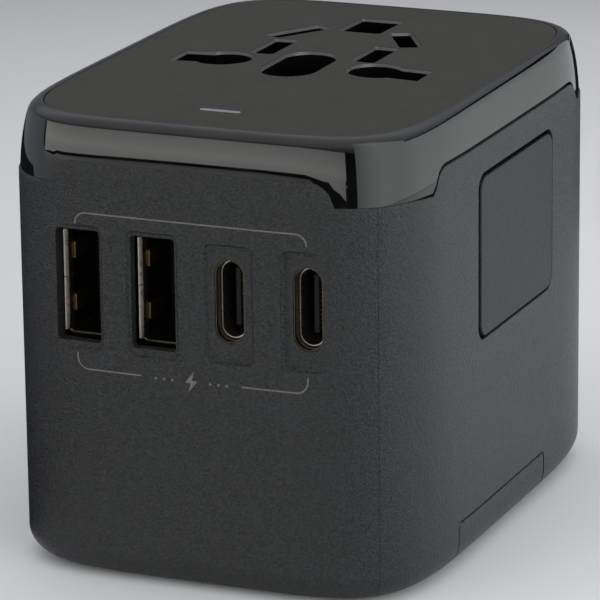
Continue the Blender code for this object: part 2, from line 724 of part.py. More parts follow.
def build_release_button():
    y0, y1 = BUTTON_Y
    z0, z1 = BUTTON_Z
    cap_outline = rounded_rectangle(
        y1 - y0 - 2 * GAP, z1 - z0 - 2 * GAP, 1.4, ((y0 + y1) / 2, (z0 + z1) / 2), steps=3)
    button = make_part("release_button", side_prism(cap_outline, 22.4, 30), TEXTURED_BLACK, 30)
    combine(button, envelope(BUTTON_INSET), "INTERSECT", "outer_face")
    flange_low = (22.2, y0 - BUTTON_FLANGE, z0 - BUTTON_FLANGE)
    flange_high = (23.1, y1 + BUTTON_FLANGE, z1 + BUTTON_FLANGE)
    add(button, block(flange_low, flange_high), "flange")
    bar = make_part("lock_bar", block((18.6, -9.5, 33.0), (21.9, 11.0, 37.0)), INNER_GREY)
    cut(bar, block((17, -3, 32), (19.9, 5, 38)), "relief")
    middle = ((y0 + y1) / 2, (z0 + z1) / 2)
    hang(make_joint("button_axis", (25.3, *middle)), button, bar)
    for word, y in zip(("front", "back"), BUTTON_SPRING_Y):
        coil_spring(
            f"button_spring_{word}", (16.7, y, BUTTON_SPRING_Z), (21.9, y, BUTTON_SPRING_Z), 1.2, 0.2, 4)


def build_fuse_drawer():
    """Tray whose outer face continues the casing; it slides out to the right."""
    y0 = DRAWER_Y[0] + GAP
    y1 = DRAWER_Y[1] - GAP
    body = block((DRAWER_INNER_X, y0, -1), (30, y1, DRAWER_TOP - GAP))
    drawer = make_part("fuse_drawer", body, TEXTURED_BLACK, 30)
    combine(drawer, envelope(), "INTERSECT", "outer_face")
    middle = (y0 + y1) / 2
    centre_x = 20.0
    reach = FUSE_LENGTH / 2 + 0.5
    pocket = block((centre_x - 2.8, middle - reach, 0.5), (centre_x + 2.8, middle + reach, 9))
    cut(drawer, pocket, "fuse_pocket")
    half = FUSE_LENGTH / 2
    profile = [
        (2.1, -half), (FUSE_RADIUS, -half + 0.3), (FUSE_RADIUS, -half + 5), (2.15, -half + 5),
        (2.15, half - 5), (FUSE_RADIUS, half - 5), (FUSE_RADIUS, half - 0.3), (2.1, half)]
    fuse = make_part(
        "mains_fuse", turned(profile, (centre_x, middle, 0.75 + FUSE_RADIUS), "Y", 16), FUSE_CERAMIC, 40)
    hang(make_joint("drawer_axis", (HALF_WIDTH, middle, DRAWER_TOP / 2)), drawer, fuse)


# ---------------------------------------------------------------- slide-out plugs
def lever(kind, carriage_z):
    """Thumb lever: a cap in the track, a neck through the slot and a strip down to the carriage."""
    y = LEVER_YS[kind]
    z = LEVER_REST_Z
    cap_width, cap_height = LEVER_CAP
    outline = rounded_rectangle(cap_width, cap_height, 1.5, (y, z), steps=3)
    item = make_part(f"{kind}_lever", side_prism(outline, -25.3, -23.9), INNER_GREY, 30)
    add(item, block((-24.2, y - 1.3, z - 1.6), (-21.5, y + 1.3, z + 1.6)), "neck")
    add(item, block((-22.3, y - 2.8, carriage_z + 2.2), (-20.8, y + 2.8, z + 1.6)), "strip")
    return item


def pin_with_tip(size, centre, low, high, tip=0.8):
    """A rectangular plug pin with a tapered tip at its lower end."""
    x, y = centre
    rows = []
    for z, shrink in ((low, tip), (low + 1.4 * tip, 0.0), (high, 0.0)):
        outline = rounded_rectangle(size[0] - shrink, size[1] - shrink, 0.4, (x, y), steps=2)
        rows.append([(px, py, z) for px, py in outline])
    return loft(rows)


def build_uk_plug():
    low = CARRIAGE_STOP_Z + UK_STROKE
    high = low + 3.4
    bar = block((-20.5, UK_PIN_Y - 3, low), (UK_RAIL_X, UK_PIN_Y + 3, high))
    carriage = make_part("uk_carriage", bar, INNER_BLACK)
    add(carriage, block((UK_RAIL_X - 2.6, UK_PIN_Y - 3, low), (UK_RAIL_X, UK_EARTH_Y + 3, high)), "rail")
    add(carriage, block((-3.4, UK_EARTH_Y - 4.8, low), (UK_RAIL_X, UK_EARTH_Y + 4.8, high)), "earth_bar")
    pieces = [carriage, lever("uk", low)]
    top = low - GAP
    pin_low = CARRIAGE_STOP_Z + 3.0
    for name, side in (("uk_neutral_pin", -1), ("uk_live_pin", 1)):
        pin = pin_with_tip(UK_PIN_SIZE, (side * UK_PIN_X, UK_PIN_Y), pin_low, top)
        pieces.append(make_part(name, pin, BRASS, 30))
    earth = pin_with_tip(UK_EARTH_SIZE, (0, UK_EARTH_Y), pin_low - UK_EARTH_EXTRA, top)
    pieces.append(make_part("uk_earth_pin", earth, BRASS, 30))
    hang(make_joint("uk_slide_axis", (0, UK_PIN_Y, low)), *pieces)


def build_eu_plug():
    low = CARRIAGE_STOP_Z + EU_STROKE
    high = low + 3.0
    carriage = make_part("eu_carriage", block((-20.5, -3.6, low), (12.0, 3.6, high)), INNER_BLACK)
    pieces = [carriage, lever("eu", low)]
    tip = low - EU_STROKE - 1.2
    profile = [(1.2, tip), (1.8, tip + 0.5), (EU_PIN_RADIUS, tip + 1.3), (EU_PIN_RADIUS, low - GAP)]
    for word, side in (("left", -1), ("right", 1)):
        pin = turned(profile, (side * EU_SPACING / 2, EU_PIN_Y, 0), segments=18)
        pieces.append(make_part(f"eu_pin_{word}", pin, NICKEL, 40))
    hang(make_joint("eu_slide_axis", (0, EU_PIN_Y, low)), *pieces)


def build_us_plug():
    low = CARRIAGE_STOP_Z + US_STROKE
    high = low + 4.4
    half_bar = US_BLADE_X + US_ROTOR_RADIUS + 1.4
    bar = block((-half_bar, US_BLADE_Y - 4.9, low), (half_bar, US_BLADE_Y + 4.9, high))
    carriage = make_part("us_carriage", bar, INNER_BLACK)
    add(carriage, block((-20.5, US_BLADE_Y - 4.9, low), (-half_bar + 1, 19.0, high)), "arm")
    add(carriage, block((-20.5, 8.2, low), (-17.4, 19.0, high)), "arm_end")
    pieces = [carriage, lever("us", low)]
    slide = make_joint("us_slide_axis", (0, US_BLADE_Y, low))
    hang(slide, *pieces)
    for word, side in (("left", -1), ("right", 1)):
        x = side * US_BLADE_X
        pocket = rod(
            US_ROTOR_RADIUS + PIN_CLEARANCE, (x, US_BLADE_Y, low - 2), (x, US_BLADE_Y, low + 2.8), 24)
        cut(carriage, pocket, f"pocket_{word}")
        rotor_low = low - 2.0
        rotor_body = rod(US_ROTOR_RADIUS, (x, US_BLADE_Y, rotor_low), (x, US_BLADE_Y, low + 2.5), 24)
        rotor = make_part(f"us_rotor_{word}", rotor_body, INNER_BLACK, 30)
        blade_low = rotor_low - 17.0
        blade_body = pin_with_tip(US_BLADE_SIZE, (x, US_BLADE_Y), blade_low, rotor_low - GAP, 0.7)
        blade = make_part(f"us_blade_{word}", blade_body, NICKEL, 30)
        hole_z = blade_low + 5.0
        hole = rod(1.5, (x - 3, US_BLADE_Y, hole_z), (x + 3, US_BLADE_Y, hole_z), 14)
        cut(blade, hole, "hole")
        pivot = make_joint(f"us_{word}_pivot", (x, US_BLADE_Y, low))
        hang(pivot, rotor, blade)
        hang(slide, pivot)


def main():
    global PARTS, CUTTERS
    clear_scene()
    PARTS = make_collection("travel_adapter")
    CUTTERS = make_collection("cutters")
    build_front_fascia()
    build_rear_shell()
    build_gloss_bezel()
    build_socket_plate()
    build_base_plate()
    build_screws()
    build_track_plate()
    build_usb_charger()
    build_mains_board()
    build_contact_block()
    build_contacts()
    build_shutter()
    build_light()
    build_chassis()
    build_release_button()
    build_fuse_drawer()
    build_uk_plug()
    build_eu_plug()
    build_us_plug()


main()
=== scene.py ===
"""Looks of the universal travel adapter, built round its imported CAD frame.

Frame: origin at the centre of the base, +X to the right, +Y to the back, +Z up.
Shapes are written in millimetres and scaled to metres when a mesh is made.
"""

import math

import bmesh
import bpy
from mathutils import Matrix, Vector


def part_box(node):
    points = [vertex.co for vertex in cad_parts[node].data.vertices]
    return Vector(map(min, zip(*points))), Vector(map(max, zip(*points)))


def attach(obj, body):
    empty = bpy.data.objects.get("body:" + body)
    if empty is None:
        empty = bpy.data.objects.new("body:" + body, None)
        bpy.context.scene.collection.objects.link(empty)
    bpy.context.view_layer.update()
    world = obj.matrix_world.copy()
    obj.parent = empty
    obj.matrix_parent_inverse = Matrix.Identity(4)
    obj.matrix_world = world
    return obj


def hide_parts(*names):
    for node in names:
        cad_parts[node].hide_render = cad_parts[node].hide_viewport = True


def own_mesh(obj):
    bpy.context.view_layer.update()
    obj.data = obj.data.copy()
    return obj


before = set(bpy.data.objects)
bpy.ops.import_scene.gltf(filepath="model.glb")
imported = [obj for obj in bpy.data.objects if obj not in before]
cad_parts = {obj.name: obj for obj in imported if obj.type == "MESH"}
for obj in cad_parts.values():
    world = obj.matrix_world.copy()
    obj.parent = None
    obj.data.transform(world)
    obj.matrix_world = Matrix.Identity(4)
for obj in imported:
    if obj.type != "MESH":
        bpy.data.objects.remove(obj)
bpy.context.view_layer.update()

MM = 0.001

# ---- outer form
HALF_WIDTH = 25.488
HALF_DEPTH = 34.23
CORNER_POWER = 5.5             # exponent of the rounded-square plan
COLUMNS = 96                   # columns in each quarter of the plan
RIM_HEIGHT = 53.4              # the side leans in towards this height
WALL = 1.5
WALL_ROWS = (12.0, 20.0, 28.0, 36.0, 42.0)     # heights of the upright wall's rows of points
FILLET_HEIGHT = 3.6            # bottom edge rounding
FILLET_INSET = 3.9
RIM_CURVE_HEIGHT = 7.8
RIM_CURVE_INSET = 1.4
RIM_CURVE_POWER = 1.4
RIM_BLEND_Z = 52.4             # above this the rim rolls over to the plate
RIM_TOP = (2.44, 53.40)        # inset and height of the rim's top edge
PLATE_INSET = 2.5
PLATE_EDGE_Z = 53.34
CROWN = 0.62                   # rise of the plate's middle above its edge
PLATE_BOTTOM = 51.9

BAND_MIDDLE = 48.7             # lower edge of the glossy band along the faces
BAND_CORNER = 46.0             # and round the corners
BAND_STEP_X = 14.3
BAND_STEP_Y = 20.4
BAND_SUNK = 0.05               # the band's lower edge lies this far inside the textured shell
BAND_UNDERCUT = 1.0
BAND_GROOVE = 0.36             # dark joint under the band along the left and right sides
LIP_RADIUS = 0.15

SEAM_X = 21.3
SEAM_GAP = 0.004
SEAM_ROUND = 0.04
BASE_INSET = 5.2
BASE_THICKNESS = 2.0

# ---- sockets in the top plate
SOCKET_LINE_Y = -2.4
EU_HOLE_X = 9.5
EU_HOLE_RADIUS = 3.2
UK_HOLE_END_X = 15.2
UK_HOLE_HALF_DEPTH = 2.25
US_SLOT = ((6.35, 4.9), (2.5, 7.6))
AU_SLOT = ((6.85, 13.6), (2.2, 7.6))
AU_SLOT_TILT = 30.0
EARTH_SLOT = ((0.0, 19.5), (4.9, 7.6))
OVAL_SLOT = ((0.0, -2.6), (6.2, 12.3))
SLOT_CHAMFER = 0.34            # flared mouths of the inner moulding that lines each slot
PRINT_PROUD = 0.004            # thickness of the printing ink
LIGHT_BAR_Y = -25.1
LIGHT_BAR_SIZE = (5.0, 0.8)

# ---- USB ports
PORT_PITCH = 9.253
PORT_Z = 34.3
FRAME_DEPTH = 0.33
A_FRAME = (6.4, 14.6)
A_FRAME_Z = -0.15              # the recess sits a little lower than the opening
A_WINDOW = (5.3, 12.9)
A_SHELL = (5.1, 12.8)
A_SHELL_DEPTH = 2.0
A_SHELL_WALL = 0.28
A_RIM = 0.46                   # width of the shell's rolled front rim
A_SPRING_SIZE = (0.39, 3.8, 1.9)
A_TONGUE_SIZE = (1.8, 8.0, 11.0)
A_TONGUE_X = 0.95              # the tongue sits right of the opening's middle
A_CONTACT_SIZE = (0.17, 6.4, 1.0)
C_FRAME = (6.0, 13.8)
C_FRAME_Z = -0.3
C_WINDOW = (3.5, 9.54)
C_SHELL = (3.16, 9.1)
C_SHELL_DEPTH = 1.35
C_SHELL_WALL = 0.25
C_TONGUE_SIZE = (0.7, 6.7)
C_NECK_SIZE = (1.2, 7.8)
C_CONTACT_PITCH = 0.5
C_CONTACT_WIDTH = 0.26
PORT_BACK = 13.0
PORT_SHADE_WALL_DEPTH = 3.1

# ---- sides and base
BUTTON_Y = (-11.5, 13.2)
BUTTON_Z = (25.5, 45.0)
BUTTON_GAP = 0.95               # open joint in front of the button
BUTTON_TOP_GAP = 0.55
BUTTON_LOW_GAP = 0.22
BUTTON_BACK_GAP = 0.03          # the joint is nearly closed behind it
BUTTON_FACE_X = 25.47
BUTTON_BACK_X = 22.6
BUTTON_FLANGE_X = (22.25, 23.05)
DRAWER_Y = (-17.6, 10.7)
DRAWER_TOP = 5.9
DRAWER_INNER_X = 15.5
DRAWER_GAP = 0.24
TRACK_Y = 17.5
TRACK_Z = (8.5, 41.5)
LEVER_REST_Z = 36.0
LEVERS = {"uk": (-11.0, 22.5), "eu": (0.0, 19.0), "us": (11.0, 17.5)}    # depth and stroke
LEVER_CAP = (8.4, 7.0)
CARRIAGE_STOP_Z = 2.3
UK_PIN_X = 11.1
UK_PIN_Y = -11.0
UK_EARTH_Y = 11.2
UK_PIN_SIZE = (6.35, 4.0)
UK_SLEEVE_SIZE = (6.41, 4.06)
UK_EARTH_SIZE = (4.0, 8.0)
PIN_SEAT = 0.3                  # the pins start this far below the carriage stop
EU_PIN_X = 9.5
US_BLADE_X = 6.35
US_BLADE_Y = 22.0
US_BLADE_SIZE = (1.5, 6.3)
US_ROTOR_RADIUS = 4.0
SCREW_X = 15.5
SCREW_Y = 23.5

# ---- light walls: distance from the object's axis
FRONT_WALL = 1150
CORNER_WALL = 320
LEFT_WALL = 300
SIDE_WALL = 240
CORNER_TOP_WALL = 244          # just outside the side wall, so the two never meet
APRON_WALL = 130
LIGHT_COLUMNS = 60
LIGHT_ROWS = 14
FLOOR_SIZE = 2500.0
FLAG_Z = 0.5

# ---- camera
CAMERA_PLACE = (188.92, -448.06, 167.24)
CAMERA_TARGET = (1.4, -6.4, 26.7)
CAMERA_ROLL = -0.66
CAMERA_LENS = 257.97


# ---- materials
MATERIALS = {}                  # every finished material by its name


def add_node(tree, kind, **settings):
    node = tree.nodes.new("ShaderNode" + kind)
    for word, value in settings.items():
        setattr(node, word, value)
    return node


def object_space(tree, stretch=(1.0, 1.0, 1.0)):
    """Coordinates in millimetres, so that texture sizes are real sizes."""
    coords = add_node(tree, "TexCoord")
    mapping = add_node(tree, "Mapping")
    mapping.inputs["Scale"].default_value = [part / MM for part in stretch]
    tree.links.new(coords.outputs["Object"], mapping.inputs["Vector"])
    return mapping.outputs["Vector"]


def noise(tree, vector, size, detail=2.0):
    node = add_node(tree, "TexNoise")
    node.inputs["Scale"].default_value = 1.0 / size
    node.inputs["Detail"].default_value = detail
    tree.links.new(vector, node.inputs["Vector"])
    return node.outputs["Fac"]


def remap(tree, value, low, high, start=0.3, end=0.7):
    node = add_node(tree, "MapRange")
    node.inputs["From Min"].default_value = start
    node.inputs["From Max"].default_value = end
    node.inputs["To Min"].default_value = low
    node.inputs["To Max"].default_value = high
    tree.links.new(value, node.inputs["Value"])
    return node.outputs["Result"]


def blend_colours(tree, factor, first, second):
    """Mixes two colours, or a linked colour and a plain one, by a linked factor."""
    node = add_node(tree, "Mix", data_type="RGBA")
    tree.links.new(factor, node.inputs["Factor"])
    for place, colour in (("A", first), ("B", second)):
        socket = [item for item in node.inputs if item.name == place and item.type == "RGBA"][0]
        if isinstance(colour, bpy.types.NodeSocket):
            tree.links.new(colour, socket)
        else:
            socket.default_value = (*colour, 1.0)
    return [item for item in node.outputs if item.type == "RGBA"][0]


def scaled(colour, share):
    return tuple(part * share for part in colour)


def surface(name, colour, roughness, metallic=0.0, specular=0.5, mottle=0.12, mottle_size=4.0,
            grain_size=0.25, grain_depth=0.01, grain_tone=0.0, rough_spread=0.08,
            stretch=(1.0, 1.0, 1.0), specks=None, speck_size=0.35, speck_share=0.12, worn=0.0):
    """Adds a material with grain, mottling and optional specks and edge wear; lengths are in mm."""
    material = bpy.data.materials.new(name)
    material.use_nodes = True
    tree = material.node_tree
    shader = tree.nodes["Principled BSDF"]
    shader.inputs["Metallic"].default_value = metallic
    shader.inputs["Specular IOR Level"].default_value = specular
    vector = object_space(tree, stretch)
    grain = noise(tree, vector, grain_size)
    broad = noise(tree, vector, mottle_size, 3.0)
    paint = blend_colours(
        tree, remap(tree, broad, 0.0, 1.0), scaled(colour, 1 - mottle), scaled(colour, 1 + mottle))
    fine = noise(tree, vector, grain_size * 1.3, 1.0)
    if grain_tone:
        paint = blend_colours(
            tree, remap(tree, fine, 0.0, grain_tone, 0.4, 0.66), paint, scaled(colour, 2.6))
    if specks:
        cells = add_node(tree, "TexVoronoi")
        cells.inputs["Scale"].default_value = 1.0 / speck_size
        tree.links.new(vector, cells.inputs["Vector"])
        spots = remap(tree, cells.outputs["Distance"], 1.0, 0.0, speck_share * 0.5, speck_share)
        paint = blend_colours(tree, spots, paint, specks)
    if worn:
        geometry = add_node(tree, "NewGeometry")
        edges = remap(tree, geometry.outputs["Pointiness"], 0.0, worn, 0.51, 0.56)
        paint = blend_colours(tree, edges, paint, scaled(colour, 2.4))
    tree.links.new(paint, shader.inputs["Base Color"])
    rough = remap(tree, fine, roughness - rough_spread, roughness + rough_spread)
    tree.links.new(rough, shader.inputs["Roughness"])
    bump = add_node(tree, "Bump")
    bump.inputs["Strength"].default_value = 1.0
    bump.inputs["Distance"].default_value = grain_depth * MM
    tree.links.new(grain, bump.inputs["Height"])
    tree.links.new(bump.outputs["Normal"], shader.inputs["Normal"])
    MATERIALS[name] = material
    return material


def circuit_board(name):
    """Green solder mask with copper tracks showing through."""
    material = surface(name, (0.015, 0.11, 0.045), 0.35, grain_size=0.6, grain_depth=0.02, mottle=0.2)
    tree = material.node_tree
    shader = tree.nodes["Principled BSDF"]
    vector = object_space(tree)
    tracks = add_node(tree, "TexBrick")
    tracks.inputs["Scale"].default_value = 0.35
    tracks.inputs["Mortar Size"].default_value = 0.04
    tree.links.new(vector, tracks.inputs["Vector"])
    paint = shader.inputs["Base Color"].links[0].from_socket
    lines = remap(tree, tracks.outputs["Fac"], 0.0, 0.6, 0.0, 1.0)
    tree.links.new(blend_colours(tree, lines, paint, (0.07, 0.3, 0.12)), shader.inputs["Base Color"])


def make_materials():
    brushed = (0.25, 1.0, 1.0)
    turned_metal = (1.0, 1.0, 0.2)
    surface("textured_black", (0.011, 0.0114, 0.0118), 0.33, specular=0.33, grain_size=0.22,
            grain_depth=0.2, grain_tone=0.8, mottle=0.1, worn=0.35)
    surface("button_black", (0.0105, 0.011, 0.0114), 0.4, specular=0.24, grain_size=0.22,
            grain_depth=0.17, grain_tone=0.7, mottle=0.1, worn=0.35)
    surface("gloss_black", (0.003, 0.0031, 0.0033), 0.025, specular=0.55, grain_size=6.0,
            grain_depth=0.004, rough_spread=0.012, mottle=0.3, specks=(0.02, 0.02, 0.019),
            speck_size=1.6, speck_share=0.03)
    surface("matte_top", (0.0272, 0.0264, 0.0172), 0.58, specular=0.28, grain_size=0.18,
            grain_depth=0.02, grain_tone=0.12, specks=(0.06, 0.055, 0.038), speck_size=0.5,
            speck_share=0.2)
    surface("satin_black", (0.02, 0.02, 0.024), 0.3, specular=1.0, grain_size=0.4, grain_depth=0.001,
            rough_spread=0.03)
    # near-black; painted shade in the slot wells, the wall behind the port windows and the sheet seen
    # through the socket slots, and the finish of the black flags and the USB-A tongues
    surface("deep_black", (0.003, 0.003, 0.003), 0.5, specular=0.03, grain_size=0.3, grain_depth=0.02)
    surface("deep_grey", (0.01, 0.01, 0.011), 0.5, specular=0.2, grain_size=0.3, grain_depth=0.01)
    # a darker copy of the steel below: painted shade for the USB-A shells and USB-C collars set back in
    # the port openings
    surface("steel_painted_shade", (0.13, 0.11, 0.08), 0.32, metallic=1.0, grain_size=0.5, grain_depth=0.0004,
            rough_spread=0.04)
    # a darker copy of the brass: painted shade for the springs and contacts deep inside the USB-A ports
    surface("brass_painted_shade", (0.2, 0.13, 0.055), 0.45, metallic=1.0, grain_size=0.2, grain_depth=0.003)
    surface("inner_black", (0.012, 0.012, 0.012), 0.45, grain_size=0.3, grain_depth=0.02)
    surface("inner_grey", (0.045, 0.046, 0.048), 0.5, grain_size=0.25, grain_depth=0.02, worn=0.4)
    surface("steel", (0.46, 0.42, 0.36), 0.3, metallic=1.0, grain_size=0.5, grain_depth=0.0004,
            stretch=brushed, rough_spread=0.04, mottle=0.05)
    surface("brass", (0.72, 0.53, 0.26), 0.3, metallic=1.0, grain_size=0.15, grain_depth=0.005,
            stretch=turned_metal, rough_spread=0.08, mottle=0.08)
    surface("nickel", (0.62, 0.6, 0.56), 0.22, metallic=1.0, grain_size=0.15, grain_depth=0.004,
            stretch=turned_metal, rough_spread=0.07, mottle=0.06)
    circuit_board("board_green")
    surface("light_bar", (0.24, 0.245, 0.28), 0.35, grain_size=0.5, grain_depth=0.01, mottle=0.1,
            mottle_size=1.2)
    surface("ceramic", (0.78, 0.76, 0.7), 0.3, grain_size=0.5, grain_depth=0.01, mottle=0.06)
    surface("tape_yellow", (0.7, 0.52, 0.07), 0.38, grain_size=1.5, grain_depth=0.03,
            stretch=(0.2, 1.0, 1.0))
    surface("sleeve_blue", (0.03, 0.06, 0.2), 0.33, grain_size=1.0, grain_depth=0.02)
    surface("pin_sleeve", (0.014, 0.014, 0.015), 0.4, grain_size=0.3, grain_depth=0.01)
    surface("print_grey", (0.12, 0.11, 0.092), 0.6, grain_size=0.15, grain_depth=0.004, mottle=0.15,
            mottle_size=0.6)
    surface("studio_floor", (0.9, 0.9, 0.895), 0.7, specular=0.2, grain_size=1.0, grain_depth=0.01,
            mottle=0.01, mottle_size=60.0, rough_spread=0.03)


# ---- making pieces
def to_object(name, bm):
    bmesh.ops.recalc_face_normals(bm, faces=bm.faces)
    mesh = bpy.data.meshes.new(name)
    bm.to_mesh(mesh)
    bm.free()
    item = bpy.data.objects.new(name, mesh)
    bpy.context.scene.collection.objects.link(item)
    return item


def carve(bm, cutters, operation="DIFFERENCE"):
    """The solid with every cutter taken out of it, one after the other."""
    body = to_object("carve_body", bm)
    helpers = [to_object("carve_cutter", cutter) for cutter in cutters]
    for helper in helpers:
        modifier = body.modifiers.new("cut", "BOOLEAN")
        modifier.operation = operation
        modifier.solver = "EXACT"
        modifier.object = helper
    result = bmesh.new()
    result.from_object(body, bpy.context.evaluated_depsgraph_get())
    for item in (body, *helpers):
        bpy.data.objects.remove(item, do_unlink=True)
    return result


def joined(parts):
    """Several separate solids as one mesh."""
    whole = bmesh.new()
    for part in parts:
        mesh = bpy.data.meshes.new("joined")
        bmesh.ops.recalc_face_normals(part, faces=part.faces)
        part.to_mesh(mesh)
        part.free()
        whole.from_mesh(mesh)
        bpy.data.meshes.remove(mesh)
    return whole


def piece(name, bm, finish, *nodes, body="housing", angle=32):
    """A finished piece that rides on a body and stands for the named CAD nodes."""
    bmesh.ops.scale(bm, vec=(MM, MM, MM), verts=bm.verts)
    item = to_object(name, bm)
    item.data.materials.append(MATERIALS[finish])
    item.data.shade_smooth()
    item.data.set_sharp_from_angle(angle=math.radians(angle))
    weighted = item.modifiers.new("even_normals", "WEIGHTED_NORMAL")
    weighted.keep_sharp = True
    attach(item, body)
    if nodes:
        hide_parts(*nodes)
    return item


def dress(finish, *nodes):
    """Gives CAD nodes whose shape is right their finished material."""
    for name in nodes:
        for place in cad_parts[name].material_slots:
            place.material = MATERIALS[finish]


def loft(rows, closed=False, looped=True):
    """Skin between outlines of equal point count; closed joins the last row to the first."""
    bm = bmesh.new()
    rings = [[bm.verts.new(point) for point in row] for row in rows]
    pairs = list(zip(rings, rings[1:]))
    if closed:
        pairs.append((rings[-1], rings[0]))
    for lower, upper in pairs:
        count = len(lower)
        for i in range(count if looped else count - 1):
            j = (i + 1) % count
            bm.faces.new((lower[i], lower[j], upper[j], upper[i]))
    if looped and not closed:
        bm.faces.new(list(reversed(rings[0])))
        bm.faces.new(rings[-1])
    return bm


def block(low, high, rounding=0.0):
    bm = bmesh.new()
    bmesh.ops.create_cube(bm, size=1.0)
    bmesh.ops.scale(bm, vec=[b - a for a, b in zip(low, high)], verts=bm.verts)
    bmesh.ops.translate(bm, vec=[(a + b) / 2 for a, b in zip(low, high)], verts=bm.verts)
    if rounding:
        bmesh.ops.bevel(bm, geom=bm.edges[:], offset=rounding, segments=3, profile=0.5, affect="EDGES")
    return bm


def turned(profile, point, segments=64):
    """A profile of (radius, height) pairs turned about a vertical axis through the point."""
    bm = bmesh.new()
    verts = [bm.verts.new((radius, 0.0, height)) for radius, height in profile]
    edges = [bm.edges.new(pair) for pair in zip(verts, verts[1:])]
    bmesh.ops.spin(
        bm, geom=verts + edges, cent=(0, 0, 0), axis=(0, 0, 1), angle=2 * math.pi, steps=segments,
        use_merge=True)
    bmesh.ops.holes_fill(bm, edges=bm.edges, sides=0)
    bmesh.ops.translate(bm, vec=point, verts=bm.verts)
    return bm


def quarter_turn(steps, first=0):
    """Pairs of cosine and sine over a right angle, to round an edge."""
    angles = [math.radians(90 * step / steps) for step in range(first, steps + 1)]
    return [(math.cos(angle), math.sin(angle)) for angle in angles]


def rounded_rectangle(width, height, radius, centre=(0.0, 0.0), steps=8):
    points = []
    for quarter, (sx, sy) in enumerate(((1, 1), (-1, 1), (-1, -1), (1, -1))):
        for step in range(steps + 1):
            angle = math.radians(90 * (quarter + step / steps))
            points.append((
                centre[0] + sx * (width / 2 - radius) + radius * math.cos(angle),
                centre[1] + sy * (height / 2 - radius) + radius * math.sin(angle)))
    return points


def stadium(size, steps=14):
    return rounded_rectangle(*size, size[0] / 2 - 0.005, steps=steps)


def turned_outline(outline, degrees):
    angle = math.radians(degrees)
    return [(x * math.cos(angle) - y * math.sin(angle), x * math.sin(angle) + y * math.cos(angle))
            for x, y in outline]


def grown(outline, distance):
    """A counter-clockwise outline moved outwards by a distance."""
    result = []
    count = len(outline)
    for i, (x, y) in enumerate(outline):
        before = Vector(outline[i]) - Vector(outline[i - 1])
        after = Vector(outline[(i + 1) % count]) - Vector(outline[i])
        first = Vector((before.y, -before.x)).normalized()
        second = Vector((after.y, -after.x)).normalized()
        push = (first + second) / (1 + first.dot(second))
        result.append((x + push.x * distance, y + push.y * distance))
    return result


# ---- plan and profile
def plan_point(angle, inset):
    c = math.cos(angle)
    s = math.sin(angle)
    power = 2 / CORNER_POWER
    x = (HALF_WIDTH - inset) * math.copysign(abs(c) ** power, c)
    y = (HALF_DEPTH - inset) * math.copysign(abs(s) ** power, s)
    return x, y


def plan_angles():
    """Angles that spread the columns evenly along the sides and through the corners."""
    angles = []
    power = CORNER_POWER / 2
    for quarter in range(4):
        for i in range(COLUMNS):
            share = i / COLUMNS
            eased = share ** power / (share ** power + (1 - share) ** power)
            angles.append(math.pi / 2 * (quarter + eased))
    return angles


def side_inset(z):
    if z < FILLET_HEIGHT:
        drop = 1 - z / FILLET_HEIGHT
        return FILLET_INSET * (1 - math.sqrt(max(0.0, 1 - drop * drop)))
    start = RIM_HEIGHT - RIM_CURVE_HEIGHT
    if z > start:
        rise = min(1.0, (z - start) / RIM_CURVE_HEIGHT)
        lean = max(0.0, 1 - rise ** RIM_CURVE_POWER) ** (1 / RIM_CURVE_POWER)
        return RIM_CURVE_INSET * (1 - lean)
    return 0.0


def side_x(y, z, inset=0.0):
    """X of the right side at a depth and height."""
    total = side_inset(z) + inset
    share = min(1.0, abs(y) / (HALF_DEPTH - total))
    return (HALF_WIDTH - total) * (1 - share ** CORNER_POWER) ** (1 / CORNER_POWER)


def face_y(x):
    return -HALF_DEPTH * (1 - (abs(x) / HALF_WIDTH) ** CORNER_POWER) ** (1 / CORNER_POWER)


def band_edge(x, y):
    drop = BAND_MIDDLE - BAND_CORNER
    along_x = min(max(abs(x) - BAND_STEP_X, 0.0) / drop, 1.0)
    along_y = min(max(abs(y) - BAND_STEP_Y, 0.0) / drop, 1.0)
    reach = min(along_x, along_y)
    return BAND_CORNER + drop * math.sqrt(1 - reach * reach)


def groove(x):
    """The joint under the band opens on the left and right sides only."""
    share = min(max((abs(x) / HALF_WIDTH - 0.93) / 0.06, 0.0), 1.0)
    return BAND_GROOVE * share * share * (3 - 2 * share)


def plate_z(x, y):
    """Height of the crowned top plate."""
    across = 1 - (x / (HALF_WIDTH - PLATE_INSET)) ** 2
    along = 1 - (y / (HALF_DEPTH - PLATE_INSET)) ** 2
    return PLATE_EDGE_Z + CROWN * max(across, 0.0) * max(along, 0.0)


# ---- casing
def shell_section(angle, ease):
    """Closed wall section at a plan angle; ease draws it inwards next to the seam."""
    x, y = plan_point(angle, 0.0)
    edge = band_edge(x, y) - groove(x)
    profile = [(FILLET_INSET * (1 - s), FILLET_HEIGHT * (1 - c)) for c, s in quarter_turn(12)]
    profile += [(0.0, z) for z in WALL_ROWS]
    last = WALL_ROWS[-1]
    shoulder = edge - LIP_RADIUS
    for step in range(1, 7):
        z = last + (shoulder - last) * step / 6
        profile.append((side_inset(z), z))
    lean = side_inset(shoulder)
    profile += [(lean + LIP_RADIUS * (1 - c), shoulder + LIP_RADIUS * s) for c, s in quarter_turn(4, 1)]
    inner = [(WALL, edge), (WALL, FILLET_HEIGHT + 0.6), (BASE_INSET, 1.6), (BASE_INSET, 0.2),
             (BASE_INSET - 0.2, 0.0)]
    outer = [(*plan_point(angle, inset + ease), z) for inset, z in profile]
    return outer + [(*plan_point(angle, inset), z) for inset, z in inner]


def seam_columns(sign):
    """Columns beside the seam as (angle from the X axis, ease); sign -1 is the fascia's side."""
    columns = []
    for step in range(5):
        away = SEAM_ROUND * step / 4
        x = SEAM_X + sign * (SEAM_GAP / 2 + away)
        ease = SEAM_ROUND - math.sqrt(SEAM_ROUND ** 2 - (SEAM_ROUND - away) ** 2)
        columns.append((math.acos((x / HALF_WIDTH) ** (CORNER_POWER / 2)), ease))
    return columns


